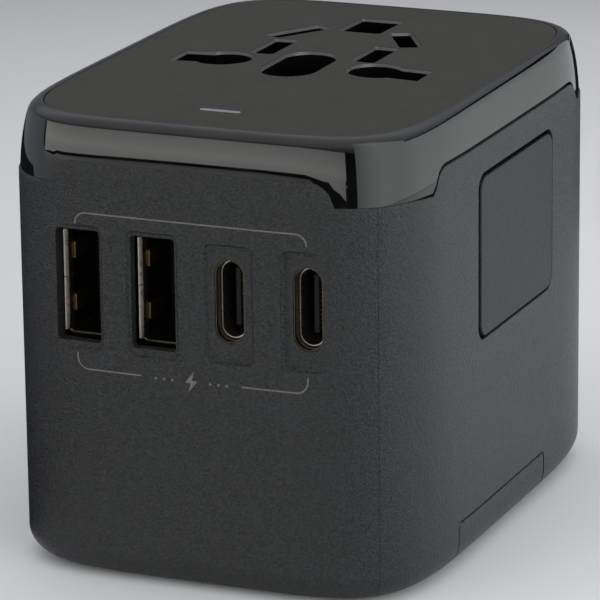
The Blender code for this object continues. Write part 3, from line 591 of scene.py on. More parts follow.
def columns_between(first, last):
    """Plain columns strictly between two angles; angles may run past a full turn."""
    margin = 0.004
    angles = [a + turn for turn in (-2 * math.pi, 0.0) for a in plan_angles()]
    return [(a, 0.0) for a in angles if first + margin < a < last - margin]


def recess(outline, x, centre_z, profile, closed=False):
    """Skin into the front face: profile holds (growth, depth behind the face) pairs."""
    front = face_y(x)
    rows = []
    for growth, depth in profile:
        rows.append([(x + px, front + depth, centre_z + pz) for px, pz in grown(outline, growth)])
    return loft(rows, closed)


def side_cutter(outline, profile, sign=1):
    """Cutter for a side face: outline in YZ, profile of (growth, x) pairs."""
    return loft([[(sign * x, py, pz) for py, pz in grown(outline, growth)] for growth, x in profile])


def port_centres():
    return [((i - 1.5) * PORT_PITCH, i >= 2) for i in range(4)]


def port_cutters():
    frames = []
    windows = []
    slope = [(0.0, FRAME_DEPTH), (0.07, FRAME_DEPTH - 0.03), (FRAME_DEPTH - 0.07, 0.04),
             (FRAME_DEPTH + 0.04, -0.03), (FRAME_DEPTH + 0.05, -1.0)]
    for x, is_c in port_centres():
        width, height = C_FRAME if is_c else A_FRAME
        frame_z = PORT_Z + (C_FRAME_Z if is_c else A_FRAME_Z)
        floor = rounded_rectangle(width - 2 * FRAME_DEPTH, height - 2 * FRAME_DEPTH, 0.6)
        frames.append(recess(floor, x, frame_z, slope))
        window = stadium(C_WINDOW) if is_c else rounded_rectangle(*A_WINDOW, 0.35)
        lip = [(0.0, 4.0), (0.0, FRAME_DEPTH + 0.14), (0.03, FRAME_DEPTH + 0.05),
               (0.1, FRAME_DEPTH), (0.12, FRAME_DEPTH - 0.1)]
        windows.append(recess(window, x, PORT_Z, lip))
    return [joined(frames), joined(windows)]


def build_front_fascia():
    ends = seam_columns(-1)
    left = [(math.pi + angle, ease) for angle, ease in ends]
    right = [(2 * math.pi - angle, ease) for angle, ease in reversed(ends)]
    columns = left + columns_between(left[-1][0], right[0][0]) + right
    shell = loft([shell_section(angle, ease) for angle, ease in columns])
    bmesh.ops.triangulate(shell, faces=shell.faces)
    piece("fascia", carve(shell, port_cutters()), "textured_black", "front_fascia", angle=28)


def build_rear_shell():
    ends = seam_columns(1)
    right = [(-angle, ease) for angle, ease in ends]
    left = [(math.pi + angle, ease) for angle, ease in reversed(ends)]
    columns = right + columns_between(right[-1][0], left[0][0]) + left
    shell = loft([shell_section(angle, ease) for angle, ease in columns])
    bmesh.ops.triangulate(shell, faces=shell.faces)
    y0, y1 = BUTTON_Y
    z0, z1 = BUTTON_Z
    hole = rounded_rectangle(y1 - y0, z1 - z0, 1.9, ((y0 + y1) / 2, (z0 + z1) / 2))
    lip = [(0.0, 18.0), (0.0, 25.35), (0.03, 25.43), (0.1, 25.49), (0.14, 25.6), (0.14, 28.0)]
    notch_height = DRAWER_TOP + 6
    notch = rounded_rectangle(
        DRAWER_Y[1] - DRAWER_Y[0], notch_height, 0.8, (sum(DRAWER_Y) / 2, DRAWER_TOP - notch_height / 2))
    window = rounded_rectangle(2 * TRACK_Y, TRACK_Z[1] - TRACK_Z[0], 3.0, (0.0, sum(TRACK_Z) / 2))
    window_lip = [(0.0, 18.0), (0.0, 24.9), (0.08, 25.2), (0.3, 25.42), (0.5, 25.6), (0.5, 28.0)]
    cutters = [
        side_cutter(hole, lip),
        side_cutter(notch, [(0.0, DRAWER_INNER_X - 2), (0.0, 30.0)]),
        side_cutter(window, window_lip, -1)]
    piece("shell", carve(shell, cutters), "textured_black", "rear_shell", angle=28)


def rim_roll():
    """Inset and height of the rim as it rolls over to the plate."""
    base = side_inset(RIM_BLEND_Z)
    lean = (side_inset(RIM_BLEND_Z) - side_inset(RIM_BLEND_Z - 0.05)) / 0.05
    first = Vector((base, RIM_BLEND_Z))
    second = first + Vector((lean, 1.0)) * 0.6
    last = Vector(RIM_TOP)
    third = last - Vector((0.75, 0.04))
    steps = 12
    points = []
    for step in range(1, steps + 1):
        t = step / steps
        rest = 1 - t
        spot = first * rest ** 3 + second * 3 * t * rest ** 2 + third * 3 * t * t * rest + last * t ** 3
        points.append((spot.x, spot.y))
    return points


def bezel_section(angle):
    x, y = plan_point(angle, 0.0)
    edge = band_edge(x, y)
    profile = [(WALL, edge - 0.6), (BAND_UNDERCUT, edge - 0.6), (BAND_UNDERCUT, edge - 0.01)]
    rows = 14
    for step in range(rows + 1):
        z = edge + (RIM_BLEND_Z - edge) * step / rows
        below = (RIM_BLEND_Z - z) / (RIM_BLEND_Z - BAND_MIDDLE)
        profile.append((side_inset(z) + BAND_SUNK * below ** 2, z))
    profile += rim_roll()
    profile += [
        (PLATE_INSET - 0.01, 53.36), (PLATE_INSET, 53.28), (PLATE_INSET, PLATE_BOTTOM - 0.3),
        (PLATE_INSET + 1.8, PLATE_BOTTOM - 0.3), (PLATE_INSET + 1.8, PLATE_BOTTOM - 1.3),
        (WALL + 0.5, PLATE_BOTTOM - 2.6)]
    return [(*plan_point(angle, inset), z) for inset, z in profile]


def build_gloss_bezel():
    bezel = loft([bezel_section(angle) for angle in plan_angles()], closed=True)
    piece("bezel", bezel, "gloss_black", "gloss_bezel", angle=50)


def keyhole_outline():
    """Right-hand UK slot running into the round EU hole, counter-clockwise."""
    half = UK_HOLE_HALF_DEPTH
    meet = math.asin(half / EU_HOLE_RADIUS)
    points = [(UK_HOLE_END_X, -half), (UK_HOLE_END_X, half)]
    steps = 40
    for step in range(steps + 1):
        angle = meet + (2 * math.pi - 2 * meet) * step / steps
        points.append((EU_HOLE_X + EU_HOLE_RADIUS * math.cos(angle), EU_HOLE_RADIUS * math.sin(angle)))
    return [(x, y + SOCKET_LINE_Y) for x, y in points]


def moved(outline, centre):
    return [(x + centre[0], y + centre[1]) for x, y in outline]


def socket_outlines():
    earth = moved(rounded_rectangle(*EARTH_SLOT[1], 0.3), EARTH_SLOT[0])
    oval = moved(stadium(OVAL_SLOT[1]), OVAL_SLOT[0])
    outlines = [earth, oval]
    right = [
        keyhole_outline(),
        moved(rounded_rectangle(*US_SLOT[1], 0.2), US_SLOT[0]),
        moved(turned_outline(rounded_rectangle(*AU_SLOT[1], 0.2), AU_SLOT_TILT), AU_SLOT[0])]
    left = [[(-x, y) for x, y in reversed(outline)] for outline in right]
    return outlines + right + left


def plate_rows(outline, profile):
    """Outlines over the crowned plate, one for each (growth, drop below the plate) pair.

    A drop of None means the plate's underside.
    """
    rows = []
    for growth, drop in profile:
        spots = grown(outline, growth)
        rows.append([(x, y, PLATE_BOTTOM if drop is None else plate_z(x, y) - drop) for x, y in spots])
    return rows


def build_socket_plate():
    edge = PLATE_INSET + 0.05
    angles = plan_angles()[::2]
    rows = [[(*plan_point(angle, edge), PLATE_BOTTOM) for angle in angles]]
    soft = 0.12
    for c, s in quarter_turn(3):
        outline = [plan_point(angle, edge + soft * (1 - c)) for angle in angles]
        rows.append([(x, y, plate_z(x, y) - soft * (1 - s)) for x, y in outline])
    rings = 26
    outline = [plan_point(angle, edge + soft) for angle in angles]
    for ring in range(1, rings):
        share = 1 - ring / rings
        rows.append([(x * share, y * share, plate_z(x * share, y * share)) for x, y in outline])
    plate = loft(rows)
    bmesh.ops.triangulate(plate, faces=plate.faces)
    openings = [grown(outline, SLOT_CHAMFER) for outline in socket_outlines()]
    openings.append(moved(stadium_along_x([side + 0.12 for side in LIGHT_BAR_SIZE]), (0.0, LIGHT_BAR_Y)))
    slots = [loft([[(x, y, z) for x, y in outline] for z in (50.0, 55.0)]) for outline in openings]
    piece("plate", carve(plate, slots), "matte_top", "socket_plate", angle=28)


def build_slot_liners():
    """The inner moulding shows as a flared satin mouth in every socket slot, over a near-black well that
    is painted shade down inside the slot.
    """
    flare = SLOT_CHAMFER
    mouth = [(0.0, flare), (0.02, 0.9 * flare), (flare - 0.07, 0.09), (flare - 0.03, 0.04),
             (flare - 0.01, 0.07), (flare - 0.01, flare)]
    # painted shade: the near-black well wall stands for the shade down inside each slot
    well = [(0.0, None), (0.0, flare + 0.01), (flare - 0.01, flare + 0.01), (flare - 0.01, None)]
    for name, finish, wall in (("slot_mouths", "satin_black", mouth), ("slot_wells_painted_shade", "deep_black", well)):
        rims = [loft(plate_rows(outline, wall), closed=True) for outline in socket_outlines()]
        piece(name, joined(rims), finish, angle=40)


def stadium_along_x(size):
    return rounded_rectangle(*size, size[1] / 2 - 0.005, steps=8)


def build_light_bar():
    outline = moved(stadium_along_x(LIGHT_BAR_SIZE), (0.0, LIGHT_BAR_Y))
    rows = plate_rows(outline, ((0.0, None), (0.0, 0.06), (-0.03, 0.0), (-0.12, -0.02)))
    piece("light_bar", loft(rows), "light_bar", "led_light_pipe", angle=50)


def build_base_plate():
    edge = BASE_INSET + 0.12
    angles = plan_angles()[::2]
    rows = []
    for inset, z in ((edge + 0.15, 0.0), (edge, 0.15), (edge, BASE_THICKNESS)):
        rows.append([(*plan_point(angle, inset), z) for angle in angles])
    base = loft(rows)
    bmesh.ops.triangulate(base, faces=base.faces)
    chamfered = [(0.32, -1.0), (0.3, -0.02), (0.0, 0.3), (0.0, 4.0)]
    outlines = [moved(rounded_rectangle(4.6, 8.6, 0.5), (0.0, UK_EARTH_Y))]
    for side in (-1, 1):
        outlines.append(moved(rounded_rectangle(6.95, 4.6, 0.5), (side * UK_PIN_X, UK_PIN_Y)))
        outlines.append(moved(circle(2.3), (side * EU_PIN_X, 0.0)))
        outlines.append(moved(circle(US_ROTOR_RADIUS + 0.3), (side * US_BLADE_X, US_BLADE_Y)))
    holes = [base_cutter(outline, chamfered) for outline in outlines]
    countersunk = [(0.95, -1.0), (0.95, 1.1), (0.0, 1.1), (0.0, 4.0)]
    holes += [base_cutter(moved(circle(1.3), place), countersunk) for place in screw_places()]
    notch = block((DRAWER_INNER_X - 0.3, DRAWER_Y[0] - 0.3, -5), (30, DRAWER_Y[1] + 0.3, 9))
    piece("base", carve(base, [joined(holes), notch]), "textured_black", "base_plate", angle=28)


def circle(radius, steps=48):
    return [(radius * math.cos(2 * math.pi * i / steps), radius * math.sin(2 * math.pi * i / steps))
            for i in range(steps)]


def base_cutter(outline, profile):
    return loft([[(x, y, z) for x, y in grown(outline, growth)] for growth, z in profile])


def screw_places():
    return [(sx * SCREW_X, sy * SCREW_Y) for sy in (-1, 1) for sx in (-1, 1)]


def build_screws():
    names = ("front_left", "front_right", "back_left", "back_right")
    profile = [(0.0, 0.2), (1.2, 0.22), (1.6, 0.32), (1.8, 0.55), (1.8, 0.85), (0.9, 0.95), (0.9, 8.0)]
    for word, (x, y) in zip(names, screw_places()):
        head = turned(profile, (x, y, 0), 40)
        cross = [
            block((x - 1.1, y - 0.2, -1.0), (x + 1.1, y + 0.2, 0.6)),
            block((x - 0.2, y - 1.1, -1.0), (x + 0.2, y + 1.1, 0.6))]
        piece(f"screw_{word}", carve(head, cross), "steel", f"base_screw_{word}")


# ---- printed lines
def ribbon(path, width):
    """A flat printed line on the front face through (x, z) points."""
    left = []
    right = []
    for i, point in enumerate(path):
        before = Vector(path[max(i - 1, 0)])
        after = Vector(path[min(i + 1, len(path) - 1)])
        along = (after - before).normalized()
        across = Vector((-along.y, along.x)) * width / 2
        left.append(Vector(point) + across)
        right.append(Vector(point) - across)
    rows = [[(p.x, face_y(p.x) - PRINT_PROUD, p.y) for p in side] for side in (left, right)]
    return loft(rows, looped=False)


def arc(centre, radius, start, end, steps=12):
    points = []
    for step in range(steps + 1):
        angle = math.radians(start + (end - start) * step / steps)
        points.append((centre[0] + radius * math.cos(angle), centre[1] + radius * math.sin(angle)))
    return points


def straight(start, end, steps=24):
    return [tuple(Vector(start).lerp(Vector(end), step / steps)) for step in range(steps + 1)]


def build_printed_marks():
    """Bracket round the ports, with a plain bolt sign where the bracket's lower line is open."""
    width = 0.17
    half = 13.95
    radius = 1.35
    top = 42.9
    low = 24.8
    turn = half - radius
    lines = [ribbon(
        arc((-turn, top - radius), radius, 180, 90) + straight((-turn, top), (turn, top))[1:-1]
        + arc((turn, top - radius), radius, 90, 0), width)]
    for side in (-1, 1):
        start, end = (180, 270) if side < 0 else (0, -90)
        corner = arc((side * turn, low + radius), radius, start, end)
        lines.append(ribbon([(side * half, low + radius + 0.5)] + corner + straight(
            (side * turn, low), (side * 6.1, low))[1:], width))
    bolt = [(0.35, 1.25), (-0.75, -0.15), (-0.08, -0.15), (-0.35, -1.25), (0.75, 0.15), (0.08, 0.15)]
    sign = bmesh.new()
    sign.faces.new([sign.verts.new((x, face_y(x) - PRINT_PROUD, low - 0.1 + z)) for x, z in bolt])
    lines.append(sign)
    for side in (-1, 1):
        for x in (2.3, 3.3, 4.3):
            dot = bmesh.new()
            spots = [(side * x + dx, low - 0.1 + dz) for dx, dz in circle(0.16, 20)]
            dot.faces.new([dot.verts.new((px, face_y(px) - PRINT_PROUD, pz)) for px, pz in spots])
            lines.append(dot)
    piece("printed_marks", joined(lines), "print_grey")


# ---- USB ports
def tube(outline, x, profile):
    """A thin-walled tube at a port: the profile goes all the way round its wall."""
    return recess(outline, x, PORT_Z, profile, closed=True)


def strip(size, place, rounding):
    """A block behind the front face; the place is its left front edge at half its height."""
    x, y, z = place
    half = size[2] / 2
    return block((x, y, z - half), (x + size[0], y + size[1], z + half), rounding)


def build_usb_a(word, x):
    depth = A_SHELL_DEPTH
    outline = rounded_rectangle(*A_SHELL, 0.75)
    wall = A_SHELL_WALL
    rim = depth + 0.7
    shell = tube(outline, x, [
        (-wall, PORT_BACK), (-wall, rim + 0.08), (-wall + 0.08, rim), (-0.08, rim), (0.0, rim + 0.08),
        (0.0, PORT_BACK)])
    # the shell's darker steel is painted shade inside the port
    piece(f"usb_a_metal_{word}", shell, "steel_painted_shade", f"usb_a_shell_{word}", angle=40)
    outer = A_SHELL[0] / 2
    half = A_SHELL[1] / 2 - 0.55
    front = face_y(x) + depth
    section = [(0.0, 1.6), (0.0, 0.06), (0.05, 0.0), (0.13, 0.03), (A_RIM - 0.05, 0.4),
               (A_RIM, 0.5), (A_RIM, 1.6)]
    flares = []
    for side in (-1, 1):
        edge = x + side * outer
        rows = []
        for z in (PORT_Z - half, PORT_Z + half):
            rows.append([(edge - side * px, front + py, z) for px, py in section])
        flares.append(loft(rows))
    seam = block((x - 3.4, front - 0.5, PORT_Z + 0.28), (x + 3.4, front + 1.4, PORT_Z + 0.36))
    piece(f"usb_a_flares_{word}", carve(joined(flares), [seam]), "steel", angle=40)
    leaves = [
        strip(A_SPRING_SIZE, (x - 2.24, front + 1.7, PORT_Z + offset), 0.06) for offset in (-3.05, 3.05)]
    # the springs' darker brass is painted shade inside the port
    piece(f"usb_a_springs_{word}", joined(leaves), "brass_painted_shade")
    left = x + A_TONGUE_X - A_TONGUE_SIZE[0] / 2
    tongue = strip(A_TONGUE_SIZE, (left, front + 3.0, PORT_Z), 0.25)
    piece(f"usb_a_plastic_{word}", tongue, "deep_black", f"usb_a_tongue_{word}", angle=40)
    contacts = [
        strip(A_CONTACT_SIZE, (left - 0.12, front + 3.6, PORT_Z + offset), 0.05)
        for offset in (-3.5, -1.0, 1.0, 3.5)]
    # the contacts' darker brass is painted shade deep in the port
    piece(f"usb_a_contacts_{word}", joined(contacts), "brass_painted_shade")


def build_usb_c(word, x):
    depth = FRAME_DEPTH + C_SHELL_DEPTH
    shell_outline = stadium(C_SHELL)
    wall = C_SHELL_WALL
    shell = tube(shell_outline, x, [
        (-wall, PORT_BACK), (-wall, depth + 0.12), (-wall + 0.05, depth + 0.02), (-0.1, depth),
        (-0.02, depth + 0.04), (0.0, depth + 0.12), (0.0, PORT_BACK)])
    hole = stadium(C_WINDOW)
    collar_depth = FRAME_DEPTH + 0.22
    collar = tube(hole, x, [
        (-0.12, depth + 0.7), (-0.13, collar_depth + 0.08), (-0.1, collar_depth), (-0.04, collar_depth),
        (-0.02, collar_depth + 0.1), (-0.02, depth + 0.7)])
    piece(f"usb_c_metal_{word}", shell, "steel", f"usb_c_shell_{word}", angle=40)
    # the collar's darker steel is painted shade inside the port
    piece(f"usb_c_collar_{word}", collar, "steel_painted_shade", angle=40)
    front = face_y(x) + depth
    back = front + 9.0
    half, high = (part / 2 for part in C_TONGUE_SIZE)
    tongue = block((x - half, front + 1.2, PORT_Z - high), (x + half, back, PORT_Z + high), 0.16)
    half, high = (part / 2 for part in C_NECK_SIZE)
    neck = block((x - half, front + 3.2, PORT_Z - high), (x + half, back, PORT_Z + high), 0.2)
    plastic = joined([tongue, neck])
    piece(f"usb_c_plastic_{word}", plastic, "deep_grey", f"usb_c_tongue_{word}", angle=40)
    contacts = []
    for side in (-1, 1):
        for step in range(12):
            z = PORT_Z + (step - 5.5) * C_CONTACT_PITCH
            low, high = sorted((x + side * 0.33, x + side * 0.39))
            half = C_CONTACT_WIDTH / 2
            contacts.append(block((low, front + 1.6, z - half), (high, front + 3.2, z + half)))
    piece(f"usb_c_contacts_{word}", joined(contacts), "brass")


def build_port_shade_wall():
    """Near-black wall behind the fascia that closes the space round the connector shells; it is painted
    shade for the inside of the housing seen through the port windows.
    """
    half_width = 2 * PORT_PITCH
    front = -HALF_DEPTH + PORT_SHADE_WALL_DEPTH
    mask = block((-half_width, front, PORT_Z - 9.0), (half_width, front + 0.4, PORT_Z + 8.0))
    holes = []
    for x, is_c in port_centres():
        outline = stadium(C_SHELL) if is_c else rounded_rectangle(*A_SHELL, 0.75)
        rows = [[(x + px, y, PORT_Z + pz) for px, pz in outline] for y in (front - 1.0, front + 2.0)]
        holes.append(loft(rows))
    piece("port_shade_wall", carve(mask, [joined(holes)]), "deep_black", angle=28)


def build_usb_ports():
    build_port_shade_wall()
    words = ("left", "right", "left", "right")
    for word, (x, is_c) in zip(words, port_centres()):
        if is_c:
            build_usb_c(word, x)
        else:
            build_usb_a(word, x)


# ---- button, drawer and levers
def build_release_button():
    y0, y1 = BUTTON_Y
    z0, z1 = BUTTON_Z
    middle = ((y0 + y1) / 2, (z0 + z1) / 2)
    width = y1 - y0 - BUTTON_GAP - BUTTON_BACK_GAP
    height = z1 - z0 - BUTTON_TOP_GAP - BUTTON_LOW_GAP
    centre = (y1 - BUTTON_BACK_GAP - width / 2, z0 + BUTTON_LOW_GAP + height / 2)
    outline = rounded_rectangle(width, height, 1.7, centre, 10)
    face = BUTTON_FACE_X
    radius = 0.2
    profile = [(0.0, BUTTON_BACK_X), (0.0, face - radius)]
    profile += [(-radius * (1 - c), face - radius + radius * s) for c, s in quarter_turn(6, 1)]
    cap = side_cutter(outline, profile)
    flange = rounded_rectangle(y1 - y0 + 2.0, z1 - z0 + 2.0, 2.4, middle)
    plate = side_cutter(flange, [(0.0, x) for x in BUTTON_FLANGE_X])
    piece("button_cap", joined([cap, plate]), "button_black", "release_button", body="button", angle=28)


def build_fuse_drawer():
    """Tray whose outer face continues the shell round its bottom edge."""
    y0 = DRAWER_Y[0] + DRAWER_GAP
    y1 = DRAWER_Y[1] - DRAWER_GAP
    top = DRAWER_TOP - DRAWER_GAP
    soft = 0.18
    columns = []
    for step in range(4):
        away = soft * step / 3
        ease = soft - math.sqrt(soft ** 2 - (soft - away) ** 2)
        columns.append((y0 + away, ease))
    steps = 40
    columns += [(y0 + soft + (y1 - y0 - 2 * soft) * step / steps, 0.0) for step in range(1, steps)]
    columns += [(y0 + y1 - y, ease) for y, ease in reversed(columns[:4])]
    shoulder = top - soft
    heights = [FILLET_HEIGHT * (1 - c) for c, s in quarter_turn(12)]
    heights += [FILLET_HEIGHT + (shoulder - FILLET_HEIGHT) * step / 3 for step in range(1, 4)]
    rows = []
    for y, ease in columns:
        section = [(DRAWER_INNER_X, 0.25), (DRAWER_INNER_X + 0.2, 0.0)]
        section += [(side_x(y, z, ease), z) for z in heights]
        for c, s in quarter_turn(3, 1):
            section.append((side_x(y, shoulder, ease + soft * (1 - c)), shoulder + soft * s))
        section.append((DRAWER_INNER_X, top))
        rows.append([(x, y, z) for x, z in section])
    middle = (y0 + y1) / 2
    pocket = block((17.2, middle - 10.5, 0.5), (22.8, middle + 10.5, 9))
    tray = loft(rows)
    bmesh.ops.triangulate(tray, faces=tray.faces)
    piece("drawer", carve(tray, [pocket]), "textured_black", "fuse_drawer", body="fuse_tray", angle=28)
    build_fuse(middle)


def build_fuse(middle):
    radius = 2.4
    half = 10.0
    inner = half - 0.4
    ceramic = turned([(0.0, -inner), (2.15, -inner), (2.15, inner), (0.0, inner)], (0, 0, 0), 40)
    caps = []
    for side in (-1, 1):
        profile = [(0.0, side * half), (radius - 0.35, side * half), (radius, side * (half - 0.35)),
                   (radius, side * (half - 5)), (2.1, side * (half - 5))]
        caps.append(turned(profile, (0, 0, 0), 40))
    lying = Matrix.Rotation(math.radians(90), 3, "X")
    for bm, name, finish in ((ceramic, "fuse_body", "ceramic"), (joined(caps), "fuse_caps", "nickel")):
        bmesh.ops.rotate(bm, cent=(0, 0, 0), matrix=lying, verts=bm.verts)
        bmesh.ops.translate(bm, vec=(20.0, middle, 0.75 + radius), verts=bm.verts)
        piece(name, bm, finish, "mains_fuse", body="fuse_tray", angle=40)


def build_track_plate():
    y = TRACK_Y + 0.8
    outline = rounded_rectangle(2 * y, TRACK_Z[1] - TRACK_Z[0] + 1.6, 3.4, (0.0, sum(TRACK_Z) / 2))
    plate = side_cutter(outline, [(0.0, 22.7), (0.0, 23.6)], -1)
    slots = []
    for lever_y, stroke in LEVERS.values():
        top = LEVER_REST_Z + 2.2
        low = LEVER_REST_Z - stroke - 2.2
        slot = rounded_rectangle(3.4, top - low, 1.6, (lever_y, (top + low) / 2))
        slots.append(side_cutter(slot, [(0.0, 20.0), (0.0, 23.45), (0.2, 23.65), (0.2, 25.0)], -1))
    plate = carve(plate, [joined(slots)])
    piece("track_plate", plate, "inner_black", "slider_track_plate", angle=28)


def build_lever(kind):
    y, stroke = LEVERS[kind]
    z = LEVER_REST_Z
    outline = rounded_rectangle(*LEVER_CAP, 1.5, (y, z))
    soft_edge = [(0.0, 23.9), (0.0, 24.75), (-0.08, 24.93), (-0.3, 25.08), (-0.6, 25.14)]
    cap = side_cutter(outline, soft_edge, -1)
    parts = [cap, block((-24.2, y - 1.3, z - 1.6), (-21.5, y + 1.3, z + 1.6))]
    strip_low = CARRIAGE_STOP_Z + stroke + 2.2
    parts.append(block((-22.3, y - 2.8, strip_low), (-20.8, y + 2.8, z + 1.6), 0.3))
    for step in range(5):
        ridge_z = z + (step - 2) * 1.05
        parts.append(block((-25.4, y - 2.7, ridge_z - 0.22), (-25.0, y + 2.7, ridge_z + 0.22), 0.12))
    piece(f"lever_{kind}", joined(parts), "inner_grey", f"{kind}_lever", body=f"{kind}_plug", angle=40)


# ---- plug pins
def flat_pin(size, centre, low, high, tip, radius):
    """Rectangular pin with a tapered tip at its lower end."""
    rows = []
    for z, shrink in ((low, tip), (low + 0.25 * tip, 0.6 * tip), (low + 1.4 * tip, 0.0), (high, 0.0)):
        outline = moved(rounded_rectangle(size[0] - shrink, size[1] - shrink, radius), centre)
        rows.append([(x, y, z) for x, y in outline])
    return loft(rows)


def build_pins():
    uk_top = CARRIAGE_STOP_Z + LEVERS["uk"][1] - PIN_SEAT
    uk_low = CARRIAGE_STOP_Z + 3.0
    for word, side in (("neutral", -1), ("live", 1)):
        centre = (side * UK_PIN_X, UK_PIN_Y)
        pin = flat_pin(UK_PIN_SIZE, centre, uk_low, uk_top, 0.8, 0.4)
        piece(f"uk_{word}_metal", pin, "brass", f"uk_{word}_pin", body="uk_plug", angle=30)
        sleeve = flat_pin(UK_SLEEVE_SIZE, centre, uk_low + 8.3, uk_top, 0.1, 0.42)
        piece(f"uk_{word}_sleeve", sleeve, "pin_sleeve", body="uk_plug", angle=30)
    earth = flat_pin(UK_EARTH_SIZE, (0.0, UK_EARTH_Y), uk_low - 4.9, uk_top, 0.8, 0.4)
    piece("uk_earth_metal", earth, "brass", "uk_earth_pin", body="uk_plug", angle=30)

    eu_low = CARRIAGE_STOP_Z - 1.2
    eu_top = CARRIAGE_STOP_Z + LEVERS["eu"][1] - PIN_SEAT
    metal = [(0.0, eu_low), (0.9, eu_low + 0.06), (1.5, eu_low + 0.35), (1.88, eu_low + 0.95),
             (1.97, eu_low + 1.5), (1.97, eu_top)]
    sleeve = [(1.97, eu_low + 8.6), (2.0, eu_low + 8.7), (2.0, eu_top), (1.9, eu_top)]
    for word, side in (("left", -1), ("right", 1)):
        place = (side * EU_PIN_X, 0.0, 0.0)
        pin = turned(metal, place)
        piece(f"eu_{word}_metal", pin, "nickel", f"eu_pin_{word}", body="eu_plug", angle=40)
        piece(f"eu_{word}_sleeve", turned(sleeve, place), "pin_sleeve", body="eu_plug", angle=40)

    us_low = CARRIAGE_STOP_Z + LEVERS["us"][1] - 2.0
    eased_hole = [(0.0, -3.0), (1.75, -3.0), (1.75, -0.85), (1.5, -0.6), (1.5, 0.6), (1.75, 0.85),
                  (1.75, 3.0), (0.0, 3.0)]
    across = Matrix.Rotation(math.radians(90), 3, "Y")
    for word, side in (("left", -1), ("right", 1)):
        centre = (side * US_BLADE_X, US_BLADE_Y)
        radius = US_ROTOR_RADIUS
        disc = turned([
            (0.0, us_low), (radius - 0.25, us_low), (radius, us_low + 0.25), (radius, us_low + 4.5),
            (0.0, us_low + 4.5)], (*centre, 0.0))
        body = f"us_{word}_blade"
        piece(f"rotor_{word}", disc, "inner_black", f"us_rotor_{word}", body=body, angle=40)
        blade = flat_pin(US_BLADE_SIZE, centre, us_low - 17.0, us_low - 0.3, 0.7, 0.25)
        hole_z = us_low - 12.0
        hole = turned(eased_hole, (0, 0, 0), 40)
        bmesh.ops.rotate(hole, cent=(0, 0, 0), matrix=across, verts=hole.verts)
        bmesh.ops.translate(hole, vec=(*centre, hole_z), verts=hole.verts)
        blade = carve(blade, [hole])
        piece(f"blade_{word}", blade, "nickel", f"us_blade_{word}", body=body, angle=30)


def build_spring(node, along, turns):
    """Coil spring in its CAD node's box."""
    low, high = (Vector(corner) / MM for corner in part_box(node))
    middle = (low + high) / 2
    length = high[along] - low[along]
    wire = 0.085 * (high.z - low.z)
    radius = (high.z - low.z) / 2 - wire
    axis = Vector((0, 0, 0))
    axis[along] = 1.0
    side = Vector((1, 1, 0)) - axis
    coil_steps = 24
    steps = coil_steps * turns
    rows = []
    for step in range(steps + 1):
        turn = 2 * math.pi * step / coil_steps
        outwards = side * math.cos(turn) + Vector((0, 0, math.sin(turn)))
        spot = middle + outwards * radius
        spot[along] = low[along] + wire + (length - 2 * wire) * step / steps
        rows.append([spot + outwards * out + axis * forwards for out, forwards in circle(wire, 10)])
    spring = piece(f"{node}_wire", loft(rows), "steel", node, angle=60)
    anchor = middle * MM
    anchor[along] = low[along] * MM
    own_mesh(spring)


def build_springs():
    for word in ("front", "back"):
        build_spring(f"button_spring_{word}", 0, 4)
    for word in ("left", "right"):
        build_spring(f"shutter_spring_{word}", 1, 9)


def build_slot_shade_sheet():
    """Black sheet under the contact block, seen through the open socket slots; it is painted shade for
    the dark inside of the slots.
    """
    sheet = block((-18.4, -28.0, 41.7), (18.4, 26.4, 41.95), 0.05)
    piece("slot_shade_sheet", sheet, "deep_black")


def dress_inner_nodes():
    """The hidden working parts keep the shape of their CAD nodes."""
    dress("inner_black", "contact_block", "inner_chassis", "usb_bracket")
    dress("inner_black", "uk_carriage", "eu_carriage", "us_carriage")
    dress("deep_black", "safety_shutter")
    dress("inner_grey", "lock_bar")
    dress("board_green", "usb_board", "mains_board", "led_board")
    dress("brass", "live_contact", "neutral_contact", "earth_contact")
    dress("light_bar", "led_chip")
    dress("tape_yellow", "transformer", "suppression_capacitor")
    dress("sleeve_blue", "bulk_capacitor", "output_capacitor")


# ---- studio
def staged(name, bm, material):
    """A mesh in millimetres that belongs to the studio and not to the object."""
    bmesh.ops.scale(bm, vec=(MM, MM, MM), verts=bm.verts)
    item = to_object(name, bm)
    item.data.materials.append(material)
    return item


def build_floor():
    bm = bmesh.new()
    bmesh.ops.create_grid(bm, x_segments=8, y_segments=8, size=FLOOR_SIZE)
    bmesh.ops.translate(bm, vec=(0, 0, -0.02), verts=bm.verts)
    staged("studio_floor", bm, MATERIALS["studio_floor"])


def ramp(value, stops):
    """Straight-line interpolation through (value, result) stops."""
    if value <= stops[0][0]:
        return stops[0][1]
    for (low, first), (high, second) in zip(stops, stops[1:]):
        if value <= high:
            return first + (second - first) * (value - low) / (high - low)
    return stops[-1][1]


def glowing_material(name, colour):
    """Emission whose strength is the mesh's own radiance, a little uneven like real cloth."""
    material = bpy.data.materials.new(name)
    material.use_nodes = True
    tree = material.node_tree
    tree.nodes.clear()
    glow = add_node(tree, "Emission")
    glow.inputs["Color"].default_value = (*colour, 1.0)
    radiance = add_node(tree, "Attribute", attribute_name="radiance")
    cloth = remap(tree, noise(tree, object_space(tree), 90.0), 0.98, 1.02)
    product = add_node(tree, "Math", operation="MULTIPLY")
    tree.links.new(radiance.outputs["Fac"], product.inputs[0])
    tree.links.new(cloth, product.inputs[1])
    tree.links.new(product.outputs["Value"], glow.inputs["Strength"])
    output = add_node(tree, "OutputMaterial")
    tree.links.new(glow.outputs["Emission"], output.inputs["Surface"])
    return material


def level(elevation):
    """Stops of an edge that keeps one elevation."""
    return ((0, elevation),)


def black(azimuth, elevation):
    """Radiance of a wall that gives no light."""
    return 0.0


